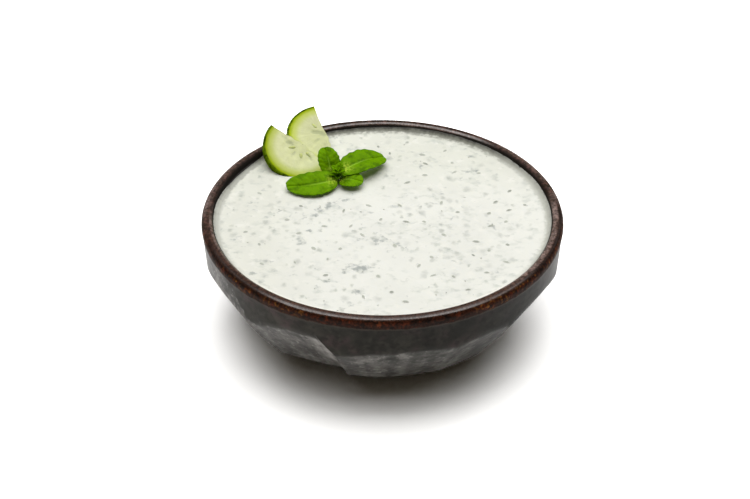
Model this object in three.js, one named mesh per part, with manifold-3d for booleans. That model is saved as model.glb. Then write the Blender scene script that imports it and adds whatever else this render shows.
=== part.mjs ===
// Tzatziki in a carved stoneware bowl, with two half slices of cucumber and a sprig of mint.
// Millimetres, +Z up. The origin is the middle of the bowl's foot, on the table.
// Bearings are in degrees round the bowl, from 0 at the front (-Y), growing towards +X.
import * as THREE from "three";
import { mergeVertices } from "three/addons/utils/BufferGeometryUtils.js";
import Module from "manifold-3d";

// ---- Driving dimensions

const GAP = 0.3; // room between two pieces that touch

const BOWL = {
  height: 60,
  rimRadius: 85, // outside, at its widest
  lipRound: 3, // rounding of the lip's outer corner
  lipWidth: 5.6,
  lipInner: 0.8, // the lip's narrow inner corner
  shoulderRadius: 83.6, // where the plain band ends
  shoulderZ: 41,
  footRadius: 40,
  footHeight: 2.2,
  footWidth: 5,
  footRecess: 1.6,
  footBevel: 0.6,
  floor: 6, // thickness of clay in the middle
};

// Flat cuts round the outside, each from one bearing to the next. At the shoulder a cut looks to the
// bearing face, lies deep below the plain profile, and is flat to the share flat, with 0 for round.
// At the foot the same three are low.face, low.deep and low.flat.
const CUTS = [
  { from: -98, to: -47, face: -63, deep: 1, flat: 1, low: { face: -68, deep: 1, flat: 0.3 } },
  { from: -47, to: -15.5, face: -26, deep: 3.2, flat: 1, low: { face: -16, deep: 4.6, flat: 0.7 } },
  { from: -15.5, to: 24, face: 8, deep: 0.2, flat: 0.35, low: { face: 6, deep: 0.6, flat: 0.2 } },
  { from: 24, to: 44, face: 34, deep: 0.2, flat: 1, low: { face: 34, deep: -0.4, flat: 0.3 } },
  { from: 44, to: 84, face: 59, deep: 1.2, flat: 1, low: { face: 60, deep: 1, flat: 0.3 } },
  { from: 84, to: 128, face: 106, deep: 1.2, flat: 1, low: { face: 106, deep: 1, flat: 0.4 } },
  { from: 128, to: 170, face: 150, deep: 0.4, flat: 1, low: { face: 150, deep: 1, flat: 0.3 } },
  { from: 170, to: 214, face: 190, deep: 2.6, flat: 1, low: { face: 186, deep: 2.4, flat: 0.6 } },
  { from: 214, to: 262, face: 238, deep: 0.8, flat: 1, low: { face: 238, deep: 1, flat: 0.3 } },
];
const CUT_STEP = 4.6; // degrees between two columns of the bowl's faces
const STEP_WIDTH = 1.8; // degrees that the wall of a step between two cuts takes
const EDGE_ROUND = 0.9; // how softly a cut runs out into the band
const LOW_BELOW = 8; // a cut has its foot's values up to this height
const HIGH_ABOVE = 30; // and its shoulder's values from this one
// The deepest step leans to the left at its upper end
const LEAN = { bearing: -15.5, angle: -4.8, reach: 16, fromZ: 34, toZ: 50 };

// Height and radius down the middle of a shallow cut, from the shoulder to the foot
const CUT_PROFILE = [
  [41, 83.6],
  [26, 73.9],
  [12, 63.6],
  [6.5, 57.6],
  [3.6, 50],
  [2.2, 42],
];
const CUT_SLOPE = 0.65; // how a cut widens above the shoulder, per millimetre of height
// Rows of faces: shares of the way up a cut, and then of the way up the band to the lip
const CUT_BASE = 3.6;
const CUT_ROWS = [0, 0.045, 0.11, 0.2, 0.34, 0.5, 0.67, 0.84, 0.97];
const BAND_TOP = 54;
const BAND_ROWS = [0.05, 0.5, 1];

// Radius and height of the inside, from the lip down to the middle
const INNER_PROFILE = [
  [79.2, 58.4],
  [78.2, 57.3],
  [76.4, 54.6],
  [73.6, 48],
  [68.5, 37],
  [59.5, 24],
  [45, 12.8],
  [24, 7.4],
];

const DIP = {
  level: 56.2,
  swirl: 0.2, // height of the spoon marks
  swirlCentre: [-12, 46], // the longest mark bends round this point
  flatFrom: 60, // radius from which the marks die out
  meniscus: 0.5, // how far the dip climbs at the wall
  climbFrom: 70,
  wallGap: 0.4, // level distance to the sloping wall
  depths: [8, 13, 24, 37, 48, 54.4], // heights of the rings that follow the wall
  shares: [0.98, 0.93, 0.85, 0.76, 0.67, 0.58, 0.49, 0.4, 0.31, 0.21, 0.1], // rings of the surface
  columns: 72,
};

const FLECKS = {
  count: 58,
  seed: 7,
  length: [2.2, 4.6],
  width: [0.9, 1.5],
  height: 0.8,
  shown: 0.32, // how far a fleck stands out of the dip
  spacing: 8,
  field: 70, // radius of the disc that holds them
  garnish: { at: [-30, 44], radius: 33 }, // no fleck under the cucumber and mint
};

const SLICE = { thickness: 3.6, bevel: 0.35, arcSteps: 24 };
// Half slices of cucumber: the middle of the cut edge, the bearing and rise that the face looks to,
// and the turn of the cut edge in the face
const SLICES = {
  cucumber_slice_front: { at: [-39.6, 51.6, 64.2], bearing: 12, rise: 60, turn: 133, radius: 18 },
  cucumber_slice_back: { at: [-28.5, 64.6, 62.8], bearing: 10, rise: 70, turn: 97.5, radius: 18.1 },
};

const SPRIG = {
  at: [-21.6, 31.6],
  stemRadius: 1.2,
  stemSunk: 3,
  stemTop: 60.2,
  budTop: 64.5,
  budRadius: 1.7,
};
const LEAF = {
  thickness: 0.7,
  rows: 12,
  columns: 8,
  veins: 6, // pairs of side veins, and of teeth on the edge
  teeth: 0.05, // depth of a tooth, as a share of the half width
  quilt: 0.35, // height of the swelling between two veins
  sweep: 1.1, // how far a vein runs towards the tip on its way out, in spaces between veins
};
// Mint leaves: the end at the stem, the heading and climb of the midrib, the roll round it, and the
// length, width, arch, droop of the tip, sideways bow, and how far the two halves fold up
const LEAVES = {
  mint_leaf_left: {
    at: [-23.4, 29.2, 59],
    heading: 194,
    climb: 4,
    roll: -20,
    length: 23,
    width: 14,
    arch: 1.4,
    droop: 2.4,
    bow: 2.4,
    fold: 0.1,
  },
  mint_leaf_right: {
    at: [-19.6, 33.9, 61.2],
    heading: 37,
    climb: 1,
    roll: 12,
    length: 26,
    width: 13.5,
    arch: 1.8,
    droop: 2,
    bow: 0,
    fold: 0.12,
  },
  mint_leaf_back: {
    at: [-23.8, 33.4, 60.2],
    heading: 107,
    climb: 44,
    roll: 0,
    length: 13.6,
    width: 10.4,
    arch: 1.2,
    droop: 0,
    bow: 0,
    fold: 0.2,
  },
  mint_leaf_front: {
    at: [-19.6, 29.2, 58.2],
    heading: -12,
    climb: 6,
    roll: 14,
    length: 10.5,
    width: 8.6,
    arch: 0.8,
    droop: 0.8,
    bow: 0,
    fold: 0.1,
  },
};

const COLOURS = {
  glaze: 0x2f2b28,
  dip: 0xf1f0e4,
  cucumber: 0xcfdc8e,
  mint: 0x4f8a12,
  stem: 0x6f8f2a,
};

const wasm = await Module();
wasm.setup();

// ---- Small helpers

const rad = THREE.MathUtils.degToRad;

// A seeded source of numbers from 0 to 1
function randomFrom(seed) {
  let state = seed;
  return () => {
    state = (state * 48271) % 2147483647;
    return state / 2147483647;
  };
}

// Straight lines between points [position, value], whose positions may rise or fall
function along(points, position) {
  const rising = points[0][0] < points[points.length - 1][0];
  const list = rising ? points : [...points].reverse();
  if (position <= list[0][0]) return list[0][1];
  for (let i = 1; i < list.length; i += 1) {
    const [low, lowValue] = list[i - 1];
    const [high, highValue] = list[i];
    if (position <= high) return THREE.MathUtils.mapLinear(position, low, high, lowValue, highValue);
  }
  return list[list.length - 1][1];
}

// The lower of two values, with the corner between them rounded
function softMin(a, b, round) {
  const h = Math.max(round - Math.abs(a - b), 0) / round;
  return Math.min(a, b) - (h * h * round) / 4;
}

function geometryOf(positions, indices) {
  const geometry = new THREE.BufferGeometry();
  geometry.setAttribute("position", new THREE.Float32BufferAttribute(positions, 3));
  geometry.setIndex(indices);
  return geometry;
}

// A closed body of stacked rings: rings[i][k] is a point, and the first and last rings are closed
// by a fan to the points bottom and top
function ringBody(rings, bottom, top) {
  const count = rings[0].length;
  const positions = [...rings.flat(2), ...bottom, ...top];
  const indices = [];
  for (let i = 0; i + 1 < rings.length; i += 1) {
    for (let k = 0; k < count; k += 1) {
      const next = (k + 1) % count;
      const a = i * count + k;
      const b = i * count + next;
      const c = (i + 1) * count + k;
      const d = (i + 1) * count + next;
      indices.push(a, b, d, a, d, c);
    }
  }
  const low = rings.length * count;
  const last = (rings.length - 1) * count;
  for (let k = 0; k < count; k += 1) {
    const next = (k + 1) % count;
    indices.push(low, next, k, low + 1, last + k, last + next);
  }
  return geometryOf(positions, indices);
}

function toSolid(geometry, matrix = new THREE.Matrix4()) {
  const plain = geometry.clone().applyMatrix4(matrix);
  plain.deleteAttribute("normal");
  plain.deleteAttribute("uv");
  const merged = mergeVertices(plain, 1e-4);
  return new wasm.Manifold(
    new wasm.Mesh({
      numProp: 3,
      vertProperties: new Float32Array(merged.attributes.position.array),
      triVerts: new Uint32Array(merged.index.array),
    }),
  );
}

function toGeometry(solid) {
  const mesh = solid.getMesh();
  return geometryOf(Array.from(mesh.vertProperties), Array.from(mesh.triVerts));
}

function piece(name, geometry, colour, roughness) {
  const material = new THREE.MeshStandardMaterial({ color: colour, roughness, metalness: 0 });
  const mesh = new THREE.Mesh(geometry, material);
  mesh.name = name;
  return mesh;
}

// ---- Bowl

// A point at a bearing, a radius and a height
function polar(bearing, radius, z) {
  return [radius * Math.sin(rad(bearing)), -radius * Math.cos(rad(bearing)), z];
}

function bandRadius(z) {
  const fall = (BOWL.height - z) / (BOWL.height - BOWL.shoulderZ);
  return BOWL.rimRadius - (BOWL.rimRadius - BOWL.shoulderRadius) * fall;
}

function cutRadius(cut, bearing, z) {
  const high = THREE.MathUtils.smoothstep(z, LOW_BELOW, HIGH_ABOVE);
  const here = (name) => THREE.MathUtils.lerp(cut.low[name], cut[name], high);
  const above = Math.max(z - BOWL.shoulderZ, 0) * CUT_SLOPE;
  const middle = along(CUT_PROFILE, z) + above - here("deep");
  return middle / Math.cos(rad(bearing - here("face"))) ** here("flat");
}

// The outside of the clay: the plain band, or a cut where that lies deeper
function outerRadius(cut, bearing, z) {
  const radius = softMin(bandRadius(z), cutRadius(cut, bearing, z), EDGE_ROUND);
  return Math.max(radius, BOWL.footRadius + 1);
}

// Columns of faces round the bowl: inside a cut they are evenly spread, and its two ends lie on
// either side of the step to its neighbour
function bowlColumns() {
  const columns = [];
  for (const cut of CUTS) {
    const from = cut.from + STEP_WIDTH / 2;
    const to = cut.to - STEP_WIDTH / 2;
    const steps = Math.round((to - from) / CUT_STEP);
    for (let i = 0; i <= steps; i += 1) {
      columns.push({ cut, bearing: THREE.MathUtils.lerp(from, to, i / steps) });
    }
  }
  return columns;
}

// The bearing of a column at a height, moved by the lean of the deepest step
function leaningBearing(bearing, z) {
  const near = Math.exp(-(((bearing - LEAN.bearing) / LEAN.reach) ** 2));
  return bearing + LEAN.angle * near * THREE.MathUtils.smoothstep(z, LEAN.fromZ, LEAN.toZ);
}

// The height at which a column leaves its cut for the band
function creaseHeight({ cut, bearing }) {
  let [low, high] = [CUT_BASE, BAND_TOP];
  for (let i = 0; i < 24; i += 1) {
    const z = (low + high) / 2;
    if (cutRadius(cut, leaningBearing(bearing, z), z) < bandRadius(z)) low = z;
    else high = z;
  }
  return low;
}

function bowlGeometry() {
  const columns = bowlColumns();
  const creases = columns.map(creaseHeight);
  const ring = (radius, z) => columns.map(({ bearing }) => polar(bearing, radius, z));
  const rings = [];
  const { footRadius: foot, footWidth, footRecess, footBevel, lipRound, lipWidth, height, rimRadius } = BOWL;
  rings.push(ring(foot - footWidth - footRecess, footRecess));
  rings.push(ring(foot - footWidth, 0));
  rings.push(ring(foot - footBevel, 0));
  rings.push(ring(foot, footBevel));
  rings.push(ring(foot, BOWL.footHeight));
  const outerRing = (heightOf) =>
    columns.map(({ cut, bearing }, k) => {
      const z = heightOf(creases[k]);
      const leaning = leaningBearing(bearing, z);
      return polar(leaning, outerRadius(cut, leaning, z), z);
    });
  const { lerp } = THREE.MathUtils;
  for (const share of CUT_ROWS) rings.push(outerRing((crease) => lerp(CUT_BASE, crease, share)));
  for (const share of BAND_ROWS) rings.push(outerRing((crease) => lerp(crease, BAND_TOP, share)));
  for (const turn of [0, 30, 60, 90]) {
    const out = lipRound * Math.cos(rad(turn));
    rings.push(ring(rimRadius - lipRound + out, height - lipRound + lipRound * Math.sin(rad(turn))));
  }
  rings.push(ring(rimRadius - lipWidth + BOWL.lipInner, height));
  rings.push(ring(rimRadius - lipWidth + BOWL.lipInner / 4, height - BOWL.lipInner / 2));
  for (const [radius, z] of INNER_PROFILE) rings.push(ring(radius, z));
  return ringBody(rings, [0, 0, footRecess], [0, 0, BOWL.floor]);
}

// ---- Dip

const innerWall = INNER_PROFILE.map(([radius, z]) => [z, radius]);

// Height of the dip's surface: low spoon marks, and a rise where it clings to the wall
function dipHeight(x, y) {
  const radius = Math.hypot(x, y);
  const bend = Math.hypot(x - DIP.swirlCentre[0], y - DIP.swirlCentre[1]);
  const marks = Math.sin(bend / 5.2) * 0.6 + Math.sin(x / 9 + 1.3) * Math.cos(y / 7.5) * 0.7;
  const climb = THREE.MathUtils.smoothstep(radius, DIP.climbFrom, DIP.climbFrom + 8) * DIP.meniscus;
  const calm = 1 - THREE.MathUtils.smoothstep(radius, DIP.flatFrom, DIP.flatFrom + 14);
  return DIP.level + DIP.swirl * marks * calm + climb;
}

function dipGeometry() {
  const bearings = Array.from({ length: DIP.columns }, (_, k) => (360 * k) / DIP.columns);
  const ring = (radius, z) => bearings.map((bearing) => polar(bearing, radius, z));
  const rings = [];
  for (const z of DIP.depths) rings.push(ring(along(innerWall, z) - DIP.wallGap, z + GAP / 2));
  const edgeZ = DIP.level + DIP.meniscus;
  const edge = along(innerWall, edgeZ) - DIP.wallGap;
  rings.push(ring(edge, edgeZ));
  for (const share of DIP.shares) {
    rings.push(
      bearings.map((bearing) => {
        const [x, y] = polar(bearing, edge * share, 0);
        return [x, y, dipHeight(x, y)];
      }),
    );
  }
  return ringBody(rings, [0, 0, BOWL.floor + 2 * GAP], [0, 0, dipHeight(0, 0)]);
}

// ---- Cucumber

// A half disc with its cut edge along X and its face on top, at Z = 0
function sliceGeometry(radius, grow = 0) {
  const shape = new THREE.Shape();
  const size = radius - SLICE.bevel + grow;
  shape.moveTo(size, SLICE.bevel - grow);
  shape.absarc(0, SLICE.bevel - grow, size, 0, Math.PI, false);
  shape.closePath();
  const geometry = new THREE.ExtrudeGeometry(shape, {
    depth: SLICE.thickness - 2 * SLICE.bevel + 2 * grow,
    bevelThickness: SLICE.bevel,
    bevelSize: SLICE.bevel,
    bevelSegments: 1,
    curveSegments: SLICE.arcSteps,
  });
  return geometry.translate(0, 0, SLICE.bevel - SLICE.thickness - grow);
}

function sliceMatrix({ at, bearing, rise, turn }) {
  const flat = Math.cos(rad(rise));
  const normal = new THREE.Vector3(
    Math.sin(rad(bearing)) * flat,
    -Math.cos(rad(bearing)) * flat,
    Math.sin(rad(rise)),
  );
  const level = new THREE.Vector3(0, 0, 1).cross(normal).normalize();
  const up = normal.clone().cross(level);
  const edge = level.multiplyScalar(Math.cos(rad(turn))).addScaledVector(up, Math.sin(rad(turn)));
  const matrix = new THREE.Matrix4().makeBasis(edge, normal.clone().cross(edge), normal);
  return matrix.setPosition(...at);
}

// ---- Mint

// Half the width of a leaf, from 0 at the stem to 1 at the tip, with a lightly toothed edge
function leafHalfWidth(leaf, u) {
  const outline = Math.sin(Math.PI * Math.pow(u * 0.98 + 0.005, 0.9)) ** 0.6;
  const teeth = 1 + LEAF.teeth * Math.sin(u * LEAF.veins * 2 * Math.PI);
  return (leaf.width / 2) * Math.max(outline, 0.1) * teeth;
}

// A point of a leaf's middle surface, in its own frame: X along the midrib, Y across, Z up
function leafPoint(leaf, u, v) {
  const half = leafHalfWidth(leaf, u);
  const side = Math.abs(v);
  const spine = leaf.arch * Math.sin(Math.PI * u) - leaf.droop * u * u;
  const quilt = LEAF.quilt * Math.sin(2 * Math.PI * (u * LEAF.veins - LEAF.sweep * side)) * side;
  const fold = leaf.fold * side * half * (2 - side);
  const across = v * half + leaf.bow * Math.sin(Math.PI * u);
  return new THREE.Vector3(u * leaf.length, across, spine + quilt + fold);
}

// A thin solid: both faces are the same grid of triangles, half a thickness above and below
function leafGeometry(leaf) {
  const { rows, columns, thickness } = LEAF;
  const positions = [];
  for (const side of [1, -1]) {
    for (let i = 0; i <= rows; i += 1) {
      for (let k = 0; k <= columns; k += 1) {
        const point = leafPoint(leaf, i / rows, (2 * k) / columns - 1);
        positions.push(point.x, point.y, point.z + (side * thickness) / 2);
      }
    }
  }
  const across = columns + 1;
  const under = (rows + 1) * across;
  const indices = [];
  for (let i = 0; i < rows; i += 1) {
    for (let k = 0; k < columns; k += 1) {
      const a = i * across + k;
      const b = a + across;
      indices.push(a, b, b + 1, a, b + 1, a + 1);
      indices.push(under + a, under + b + 1, under + b, under + a, under + a + 1, under + b + 1);
    }
  }
  const wall = (a, b) => indices.push(a, b, under + b, a, under + b, under + a);
  for (let k = 0; k < columns; k += 1) {
    wall(k, k + 1);
    wall(rows * across + k + 1, rows * across + k);
  }
  for (let i = 0; i < rows; i += 1) {
    wall((i + 1) * across, i * across);
    wall(i * across + columns, (i + 1) * across + columns);
  }
  return geometryOf(positions, indices);
}

function stemGeometry() {
  const { stemRadius, stemSunk, stemTop, budTop, budRadius } = SPRIG;
  const profile = [
    [0, DIP.level - stemSunk],
    [stemRadius, DIP.level - stemSunk],
    [stemRadius, stemTop],
    [budRadius, stemTop + 1.4],
    [budRadius * 0.75, budTop - 1.3],
    [0, budTop],
  ];
  return new THREE.LatheGeometry(profile.map(([x, y]) => new THREE.Vector2(x, y)), 10).rotateX(Math.PI / 2);
}

// ---- Flecks of herb and grated cucumber that stand a little out of the dip

function underGarnish(x, y) {
  const { at, radius } = FLECKS.garnish;
  return Math.hypot(x - at[0], y - at[1]) < radius;
}

function fleckMatrices() {
  const random = randomFrom(FLECKS.seed);
  const between = ([low, high]) => THREE.MathUtils.lerp(low, high, random());
  const placed = [];
  const matrices = [];
  while (matrices.length < FLECKS.count) {
    const radius = FLECKS.field * Math.sqrt(random());
    const turn = random() * 2 * Math.PI;
    const [x, y] = [radius * Math.cos(turn), radius * Math.sin(turn)];
    const size = new THREE.Vector3(between(FLECKS.length) / 2, between(FLECKS.width) / 2, FLECKS.height / 2);
    const heading = (random() - 0.5) * Math.PI;
    const clear = placed.every(([px, py]) => Math.hypot(px - x, py - y) > FLECKS.spacing);
    if (!clear || underGarnish(x, y)) continue;
    placed.push([x, y]);
    const z = dipHeight(x, y) + FLECKS.shown - FLECKS.height / 2;
    const spin = new THREE.Quaternion().setFromAxisAngle(new THREE.Vector3(0, 0, 1), heading);
    matrices.push(new THREE.Matrix4().compose(new THREE.Vector3(x, y, z), spin, size));
  }
  return matrices;
}

// ---- The whole

const tzatziki = new THREE.Group();
tzatziki.add(piece("bowl", bowlGeometry(), COLOURS.glaze, 0.3));

const garnish = new THREE.Group();
let clearance = null;
for (const [name, slice] of Object.entries(SLICES)) {
  const mesh = piece(name, sliceGeometry(slice.radius), COLOURS.cucumber, 0.35);
  mesh.applyMatrix4(sliceMatrix(slice));
  garnish.add(mesh);
  const room = toSolid(sliceGeometry(slice.radius, GAP), sliceMatrix(slice));
  clearance = clearance ? clearance.add(room) : room;
}

const sprig = new THREE.Group();
sprig.position.set(SPRIG.at[0], SPRIG.at[1], 0);
sprig.add(piece("mint_stem", stemGeometry(), COLOURS.stem, 0.5));
garnish.add(sprig);
for (const [name, leaf] of Object.entries(LEAVES)) {
  const mesh = piece(name, leafGeometry(leaf), COLOURS.mint, 0.4);
  mesh.position.set(...leaf.at);
  mesh.rotation.set(rad(leaf.roll), rad(-leaf.climb), rad(leaf.heading), "ZYX");
  garnish.add(mesh);
}
tzatziki.add(garnish);

const holeTop = SPRIG.stemTop;
const holeDepth = holeTop - (DIP.level - SPRIG.stemSunk - GAP);
const hole = new THREE.CylinderGeometry(SPRIG.stemRadius + GAP, SPRIG.stemRadius + GAP, holeDepth, 12);
hole.rotateX(Math.PI / 2).translate(...SPRIG.at, holeTop - holeDepth / 2);
clearance = clearance.add(toSolid(hole));

let dip = toSolid(dipGeometry());
for (const matrix of fleckMatrices()) {
  dip = dip.add(toSolid(new THREE.IcosahedronGeometry(1, 0), matrix));
}
dip = dip.subtract(clearance);
tzatziki.add(piece("tzatziki", toGeometry(dip), COLOURS.dip, 0.4));

export default tzatziki;
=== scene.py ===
"""Tzatziki in a carved stoneware bowl, with half slices of cucumber and a sprig of mint.

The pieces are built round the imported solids, from the same sizes and rules. Sizes in the tables
below are in millimetres, bearings are in degrees from the front (-Y) towards +X, and Blender's
own objects and properties are in metres.
"""

import math

import bpy
import numpy as np
from mathutils import Euler, Matrix, Vector, noise


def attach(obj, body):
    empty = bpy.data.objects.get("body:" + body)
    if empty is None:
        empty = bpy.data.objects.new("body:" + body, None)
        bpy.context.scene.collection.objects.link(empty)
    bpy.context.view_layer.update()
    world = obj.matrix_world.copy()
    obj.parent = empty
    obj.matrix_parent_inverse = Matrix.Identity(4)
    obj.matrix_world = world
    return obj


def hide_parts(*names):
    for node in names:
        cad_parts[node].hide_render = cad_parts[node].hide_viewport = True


bl_info = {
    "name": "Tzatziki Bowl",
    "version": (1, 0, 0),
    "blender": (4, 5, 0),
    "location": "3D View > Sidebar > Tzatziki",
    "description": "Builds a bowl of tzatziki dip with cucumber and mint on a studio floor",
    "category": "Object",
}

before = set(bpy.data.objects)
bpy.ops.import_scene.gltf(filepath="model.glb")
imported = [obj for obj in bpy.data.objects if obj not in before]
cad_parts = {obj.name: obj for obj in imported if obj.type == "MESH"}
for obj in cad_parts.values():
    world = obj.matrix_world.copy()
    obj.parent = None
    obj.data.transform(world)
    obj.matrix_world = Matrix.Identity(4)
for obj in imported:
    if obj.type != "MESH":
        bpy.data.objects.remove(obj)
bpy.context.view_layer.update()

MM = 0.001
BODY = "root"

# ---- Sizes of the bowl

FOOT_RADIUS = 40
FOOT_WIDTH = 5
FOOT_RECESS = 1.6
FOOT_BEVEL = 0.6
FOOT_HEIGHT = 2.2
UNDERSIDE_RINGS = [8, 20, 30]
FLOOR_TOP = 6
FLOOR_RING = 12
SHOULDER_RADIUS = 83.6
SHOULDER_Z = 41
LIP_TOP = 0.6  # flat part of the lip
LIP_INNER = (2.3, 2.4)  # width and height of the lip's inner rounding
# Turns of the rings round the lip's outer and inner rounding, in degrees
LIP_OUTER_TURNS = [0, 10, 20, 30, 40, 48, 56, 64, 72, 81, 90]
LIP_INNER_TURNS = [0, 6, 12, 20, 28, 36, 46, 58, 72, 90]

# The flat cuts round the outside: from and to, then face and depth at the shoulder, face, depth and
# flatness at the foot, and flatness at the shoulder
CUTS = np.array(
    [
        (-98, -47, -63, 1, -68, 1, 0.3, 1),
        (-47, -15.5, -26, 3.2, -16, 4.6, 0.7, 1),
        (-15.5, 24, 8, 0.2, 6, 0.6, 0.2, 0.35),
        (24, 44, 34, 0.2, 34, -0.4, 0.3, 1),
        (44, 84, 59, 1.2, 60, 1, 0.3, 1),
        (84, 128, 106, 1.2, 106, 1, 0.4, 1),
        (128, 170, 150, 0.4, 150, 1, 0.3, 1),
        (170, 214, 190, 2.6, 186, 2.4, 0.6, 1),
        (214, 262, 238, 0.8, 238, 1, 0.3, 1),
    ]
)
COLUMN_STEP = 0.85  # degrees between two columns of faces
STEP_WIDTH = 1.8  # degrees that the wall of a step between two cuts takes
STEP_COLUMNS = 3  # columns inside that wall
EDGE_ROUND = 1.5
LOW_BELOW = 8  # up to this height a cut is as it is at the foot
HIGH_ABOVE = 30  # and from this one on as it is at the shoulder
LEAN_BEARING = -15.5  # the deepest step leans over towards its top
LEAN_ANGLE = -4.8
LEAN_REACH = 16
LEAN_FROM_Z = 34
LEAN_TO_Z = 50
RIDGE_BEARING = -18.5  # where a painted highlight lies on the cut beside that step
RIDGE_REACH = 2.4
RIDGE_Z = (14, 24)  # heights over which that begins
CUT_HEIGHTS = [2.2, 3.6, 6.5, 12, 26, 41]
CUT_RADII = [42, 50, 57.6, 63.6, 73.9, 83.6]
CUT_SLOPE = 0.65  # how fast the cuts' line widens above the shoulder
CUT_BASE = 3.6
CUT_ROWS = 52
CUT_DEPTHS = (-0.5, 2.2)  # how far inside the band a cut's glaze begins, and is whole
BAND_TOP = 54
BAND_ROWS = 14
BAND_RIPPLE = 0.06
CREASE_HALVINGS = 24  # of the span in which the cuts' upper edge is looked for
CORNER_REACH = 3  # height over which the profiles' corners are softened
# Layers of noise in the marks of the carving: share, scale and offset
MARK_LAYERS = [(0.8, 0.11, 0), (0.2, 0.24, 9)]
MARK_MIDDLE = 0.25

# Stretches of the rim where its glaze, its painted sheen and its painted shade differ: the bearings
# where each one begins, is whole, begins to end and has ended
RIM_RIGHT = (38, 60, 100, 125)
RIM_FAR_RIGHT = (90, 104, 134, 150)
RIM_BACK = (142, 156, 210, 226)
RIM_LEFT = (-86, -72, -46, -34)
RIM_FAR_LEFT = (214, 230, -98, -84)  # runs over the bearing where the columns start again
RIM_FRONT = (-46, -28, 22, 36)
RIM_EARLY = (4, 22)  # bearing and reach of the place where the shine starts lower
# How much clear coat the glaze has on the band, in the cuts and inside
BAND_SHINE = 0.03
CUT_SHINE = 0.12
INSIDE_SHINE = 0.2

INNER_HEIGHTS = [7.4, 12.8, 24, 37, 48, 54.6, 57.3, 58.4]
INNER_RADII = [24, 45, 59.5, 68.5, 73.6, 76.4, 78.2, 79.2]
INNER_ROWS = [57.6, 57.2, 56.6, 55.8, 54.6, 52, 48, 42, 36, 30, 24, 18, 13, 10, 8.4, 7.4]

# ---- Sizes of the dip

DIP_SWIRL = 0.2  # height of the low spoon marks
DIP_CENTRE = (-12, 46)  # middle of the curved ones
DIP_MENISCUS = 0.5
DIP_EDGE_GAP = 0.5  # between the surface's edge and the wall
DIP_GRID = 184  # faces along a side of the surface's grid
DIP_WALL_GAP = 0.4
DIP_SIDE_HEIGHTS = [48, 37, 24, 13, 8]
LUMP_LAYERS = [(0.5, 0.16, 0), (0.35, 0.42, 5), (0.15, 1.1, 2)]
# Rings of the film: share of its height, distance from the wall, and strength
FILM_RINGS = [(0.3, 0.26, 0.5), (0.65, 0.14, 0.75), (1, 0.05, 1)]
FILM_RAGS = [(1, 9, 4), (0.6, 26, 8)]  # layers of its ragged end: share, scale and offset
FILM_HEIGHT = 1.5  # how far a thin film of dip climbs the wall
FILM_BESIDE = 0.7  # and how much higher at the left and right
# Where the film ends lower, or higher: bearing, reach in degrees and how much lower
FILM_LOW = [(-118, 18, 1.2), (124, 8, 0.25), (163, 12, -0.4)]
FILM_STRONG = [(-116, 16, 0.9), (114, 16, 0.5)]  # and where the painted shade beside the wall is stronger, and by which share
# A fine painted shadow line inside the film at the left and right: bearing, reach in degrees, strength
FILM_LINES = [(-96, 26, 0.74), (104, 20, 0.66)]
FILM_LINE_IN = 0.1
FILM_LINE_WIDTH = 0.6
FILM_REACH = 2.8  # how far in from the wall painted shade darkens the dip
FILM_WIDER = (0.35, 30, 72)  # share by which it does so further at the back, and where that begins
FILM_EDGE = 0.3  # strength of the painted shade where the dip meets the wall

# Where herbs and cucumber gather just under the surface: place, half sizes, turn and strength
SMUDGES = [
    (-11, -40, 6.5, 3.2, 8, 0.75),
    (-17, -39, 3.5, 2, 0, 0.5),
    (-11, -58, 3.2, 2.2, 0, 0.6),
    (-14, -67, 5, 1.6, 10, 0.4),
    (-9, -7, 6, 1.4, 5, 0.4),
    (-9, -16, 5.5, 1.6, -8, 0.45),
    (-15, -11, 1.6, 4, 0, 0.35),
    (-3, -11, 1.6, 4, 0, 0.35),
    (-1, -18, 4.2, 3.4, 20, 0.65),
    (8, -23, 6, 2.2, -25, 0.5),
    (28, -32, 5, 1.8, -15, 0.4),
    (18, 9, 2, 4.5, -10, 0.4),
    (22, 13, 4.5, 1.3, 10, 0.35),
    (18, 48, 2, 7, 20, 0.4),
    (14, 59, 6, 1.6, 0, 0.35),
    (45, 55, 3.6, 2.2, 0, 0.6),
    (44, 42, 7, 2, 0, 0.4),
    (34, 40, 6, 1.5, -5, 0.4),
    (-22, 14, 12, 1.6, 28, 0.6),
    (-32, 4, 9, 1.8, 38, 0.6),
    (-38, -18, 3, 4.5, 10, 0.55),
    (-33, -10, 4.5, 2, 0, 0.4),
    (-50, 6, 5, 2, 0, 0.4),
    (-62, 13, 4, 4, 0, 0.4),
    (-69, -16, 4, 9, 0, 0.22),
    (-55, -34, 5, 2, -5, 0.5),
    (-58, -44, 4, 2, -20, 0.5),
    (-26, -49, 5, 1.6, -10, 0.5),
    (45, -48, 8, 1.1, 6, 0.45),
    (51, -6, 3, 4, 0, 0.4),
    (56, 0, 4, 2, 0, 0.4),
    (34, 0, 5, 1.5, 0, 0.35),
    (27, 21, 8, 1.6, 0, 0.35),
    (5, 10, 7, 1.8, 0, 0.4),
    (-5, 5, 5, 1.6, 0, 0.4),
    (-19, 67, 3, 2, 0, 0.5),
    (12, 21, 3, 2, 0, 0.35),
]

FLECK_COUNT = 58
FLECK_SEED = 7
FLECK_LENGTH = (2.2, 4.6)
FLECK_WIDTH = (0.9, 1.5)
FLECK_HEIGHT = 0.8
FLECK_SHOWN = 0.32  # how far a fleck stands out of the dip
FLECK_SPACING = 8
FLECK_FIELD = 70
FLECK_HALVES = (0.45, 0.7)  # half a fleck's size, as shares of its length and width
FLECK_SINK = 0.1
GARNISH_AT = (-30, 44)  # where no large flecks lie
GARNISH_RADIUS = 33
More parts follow.
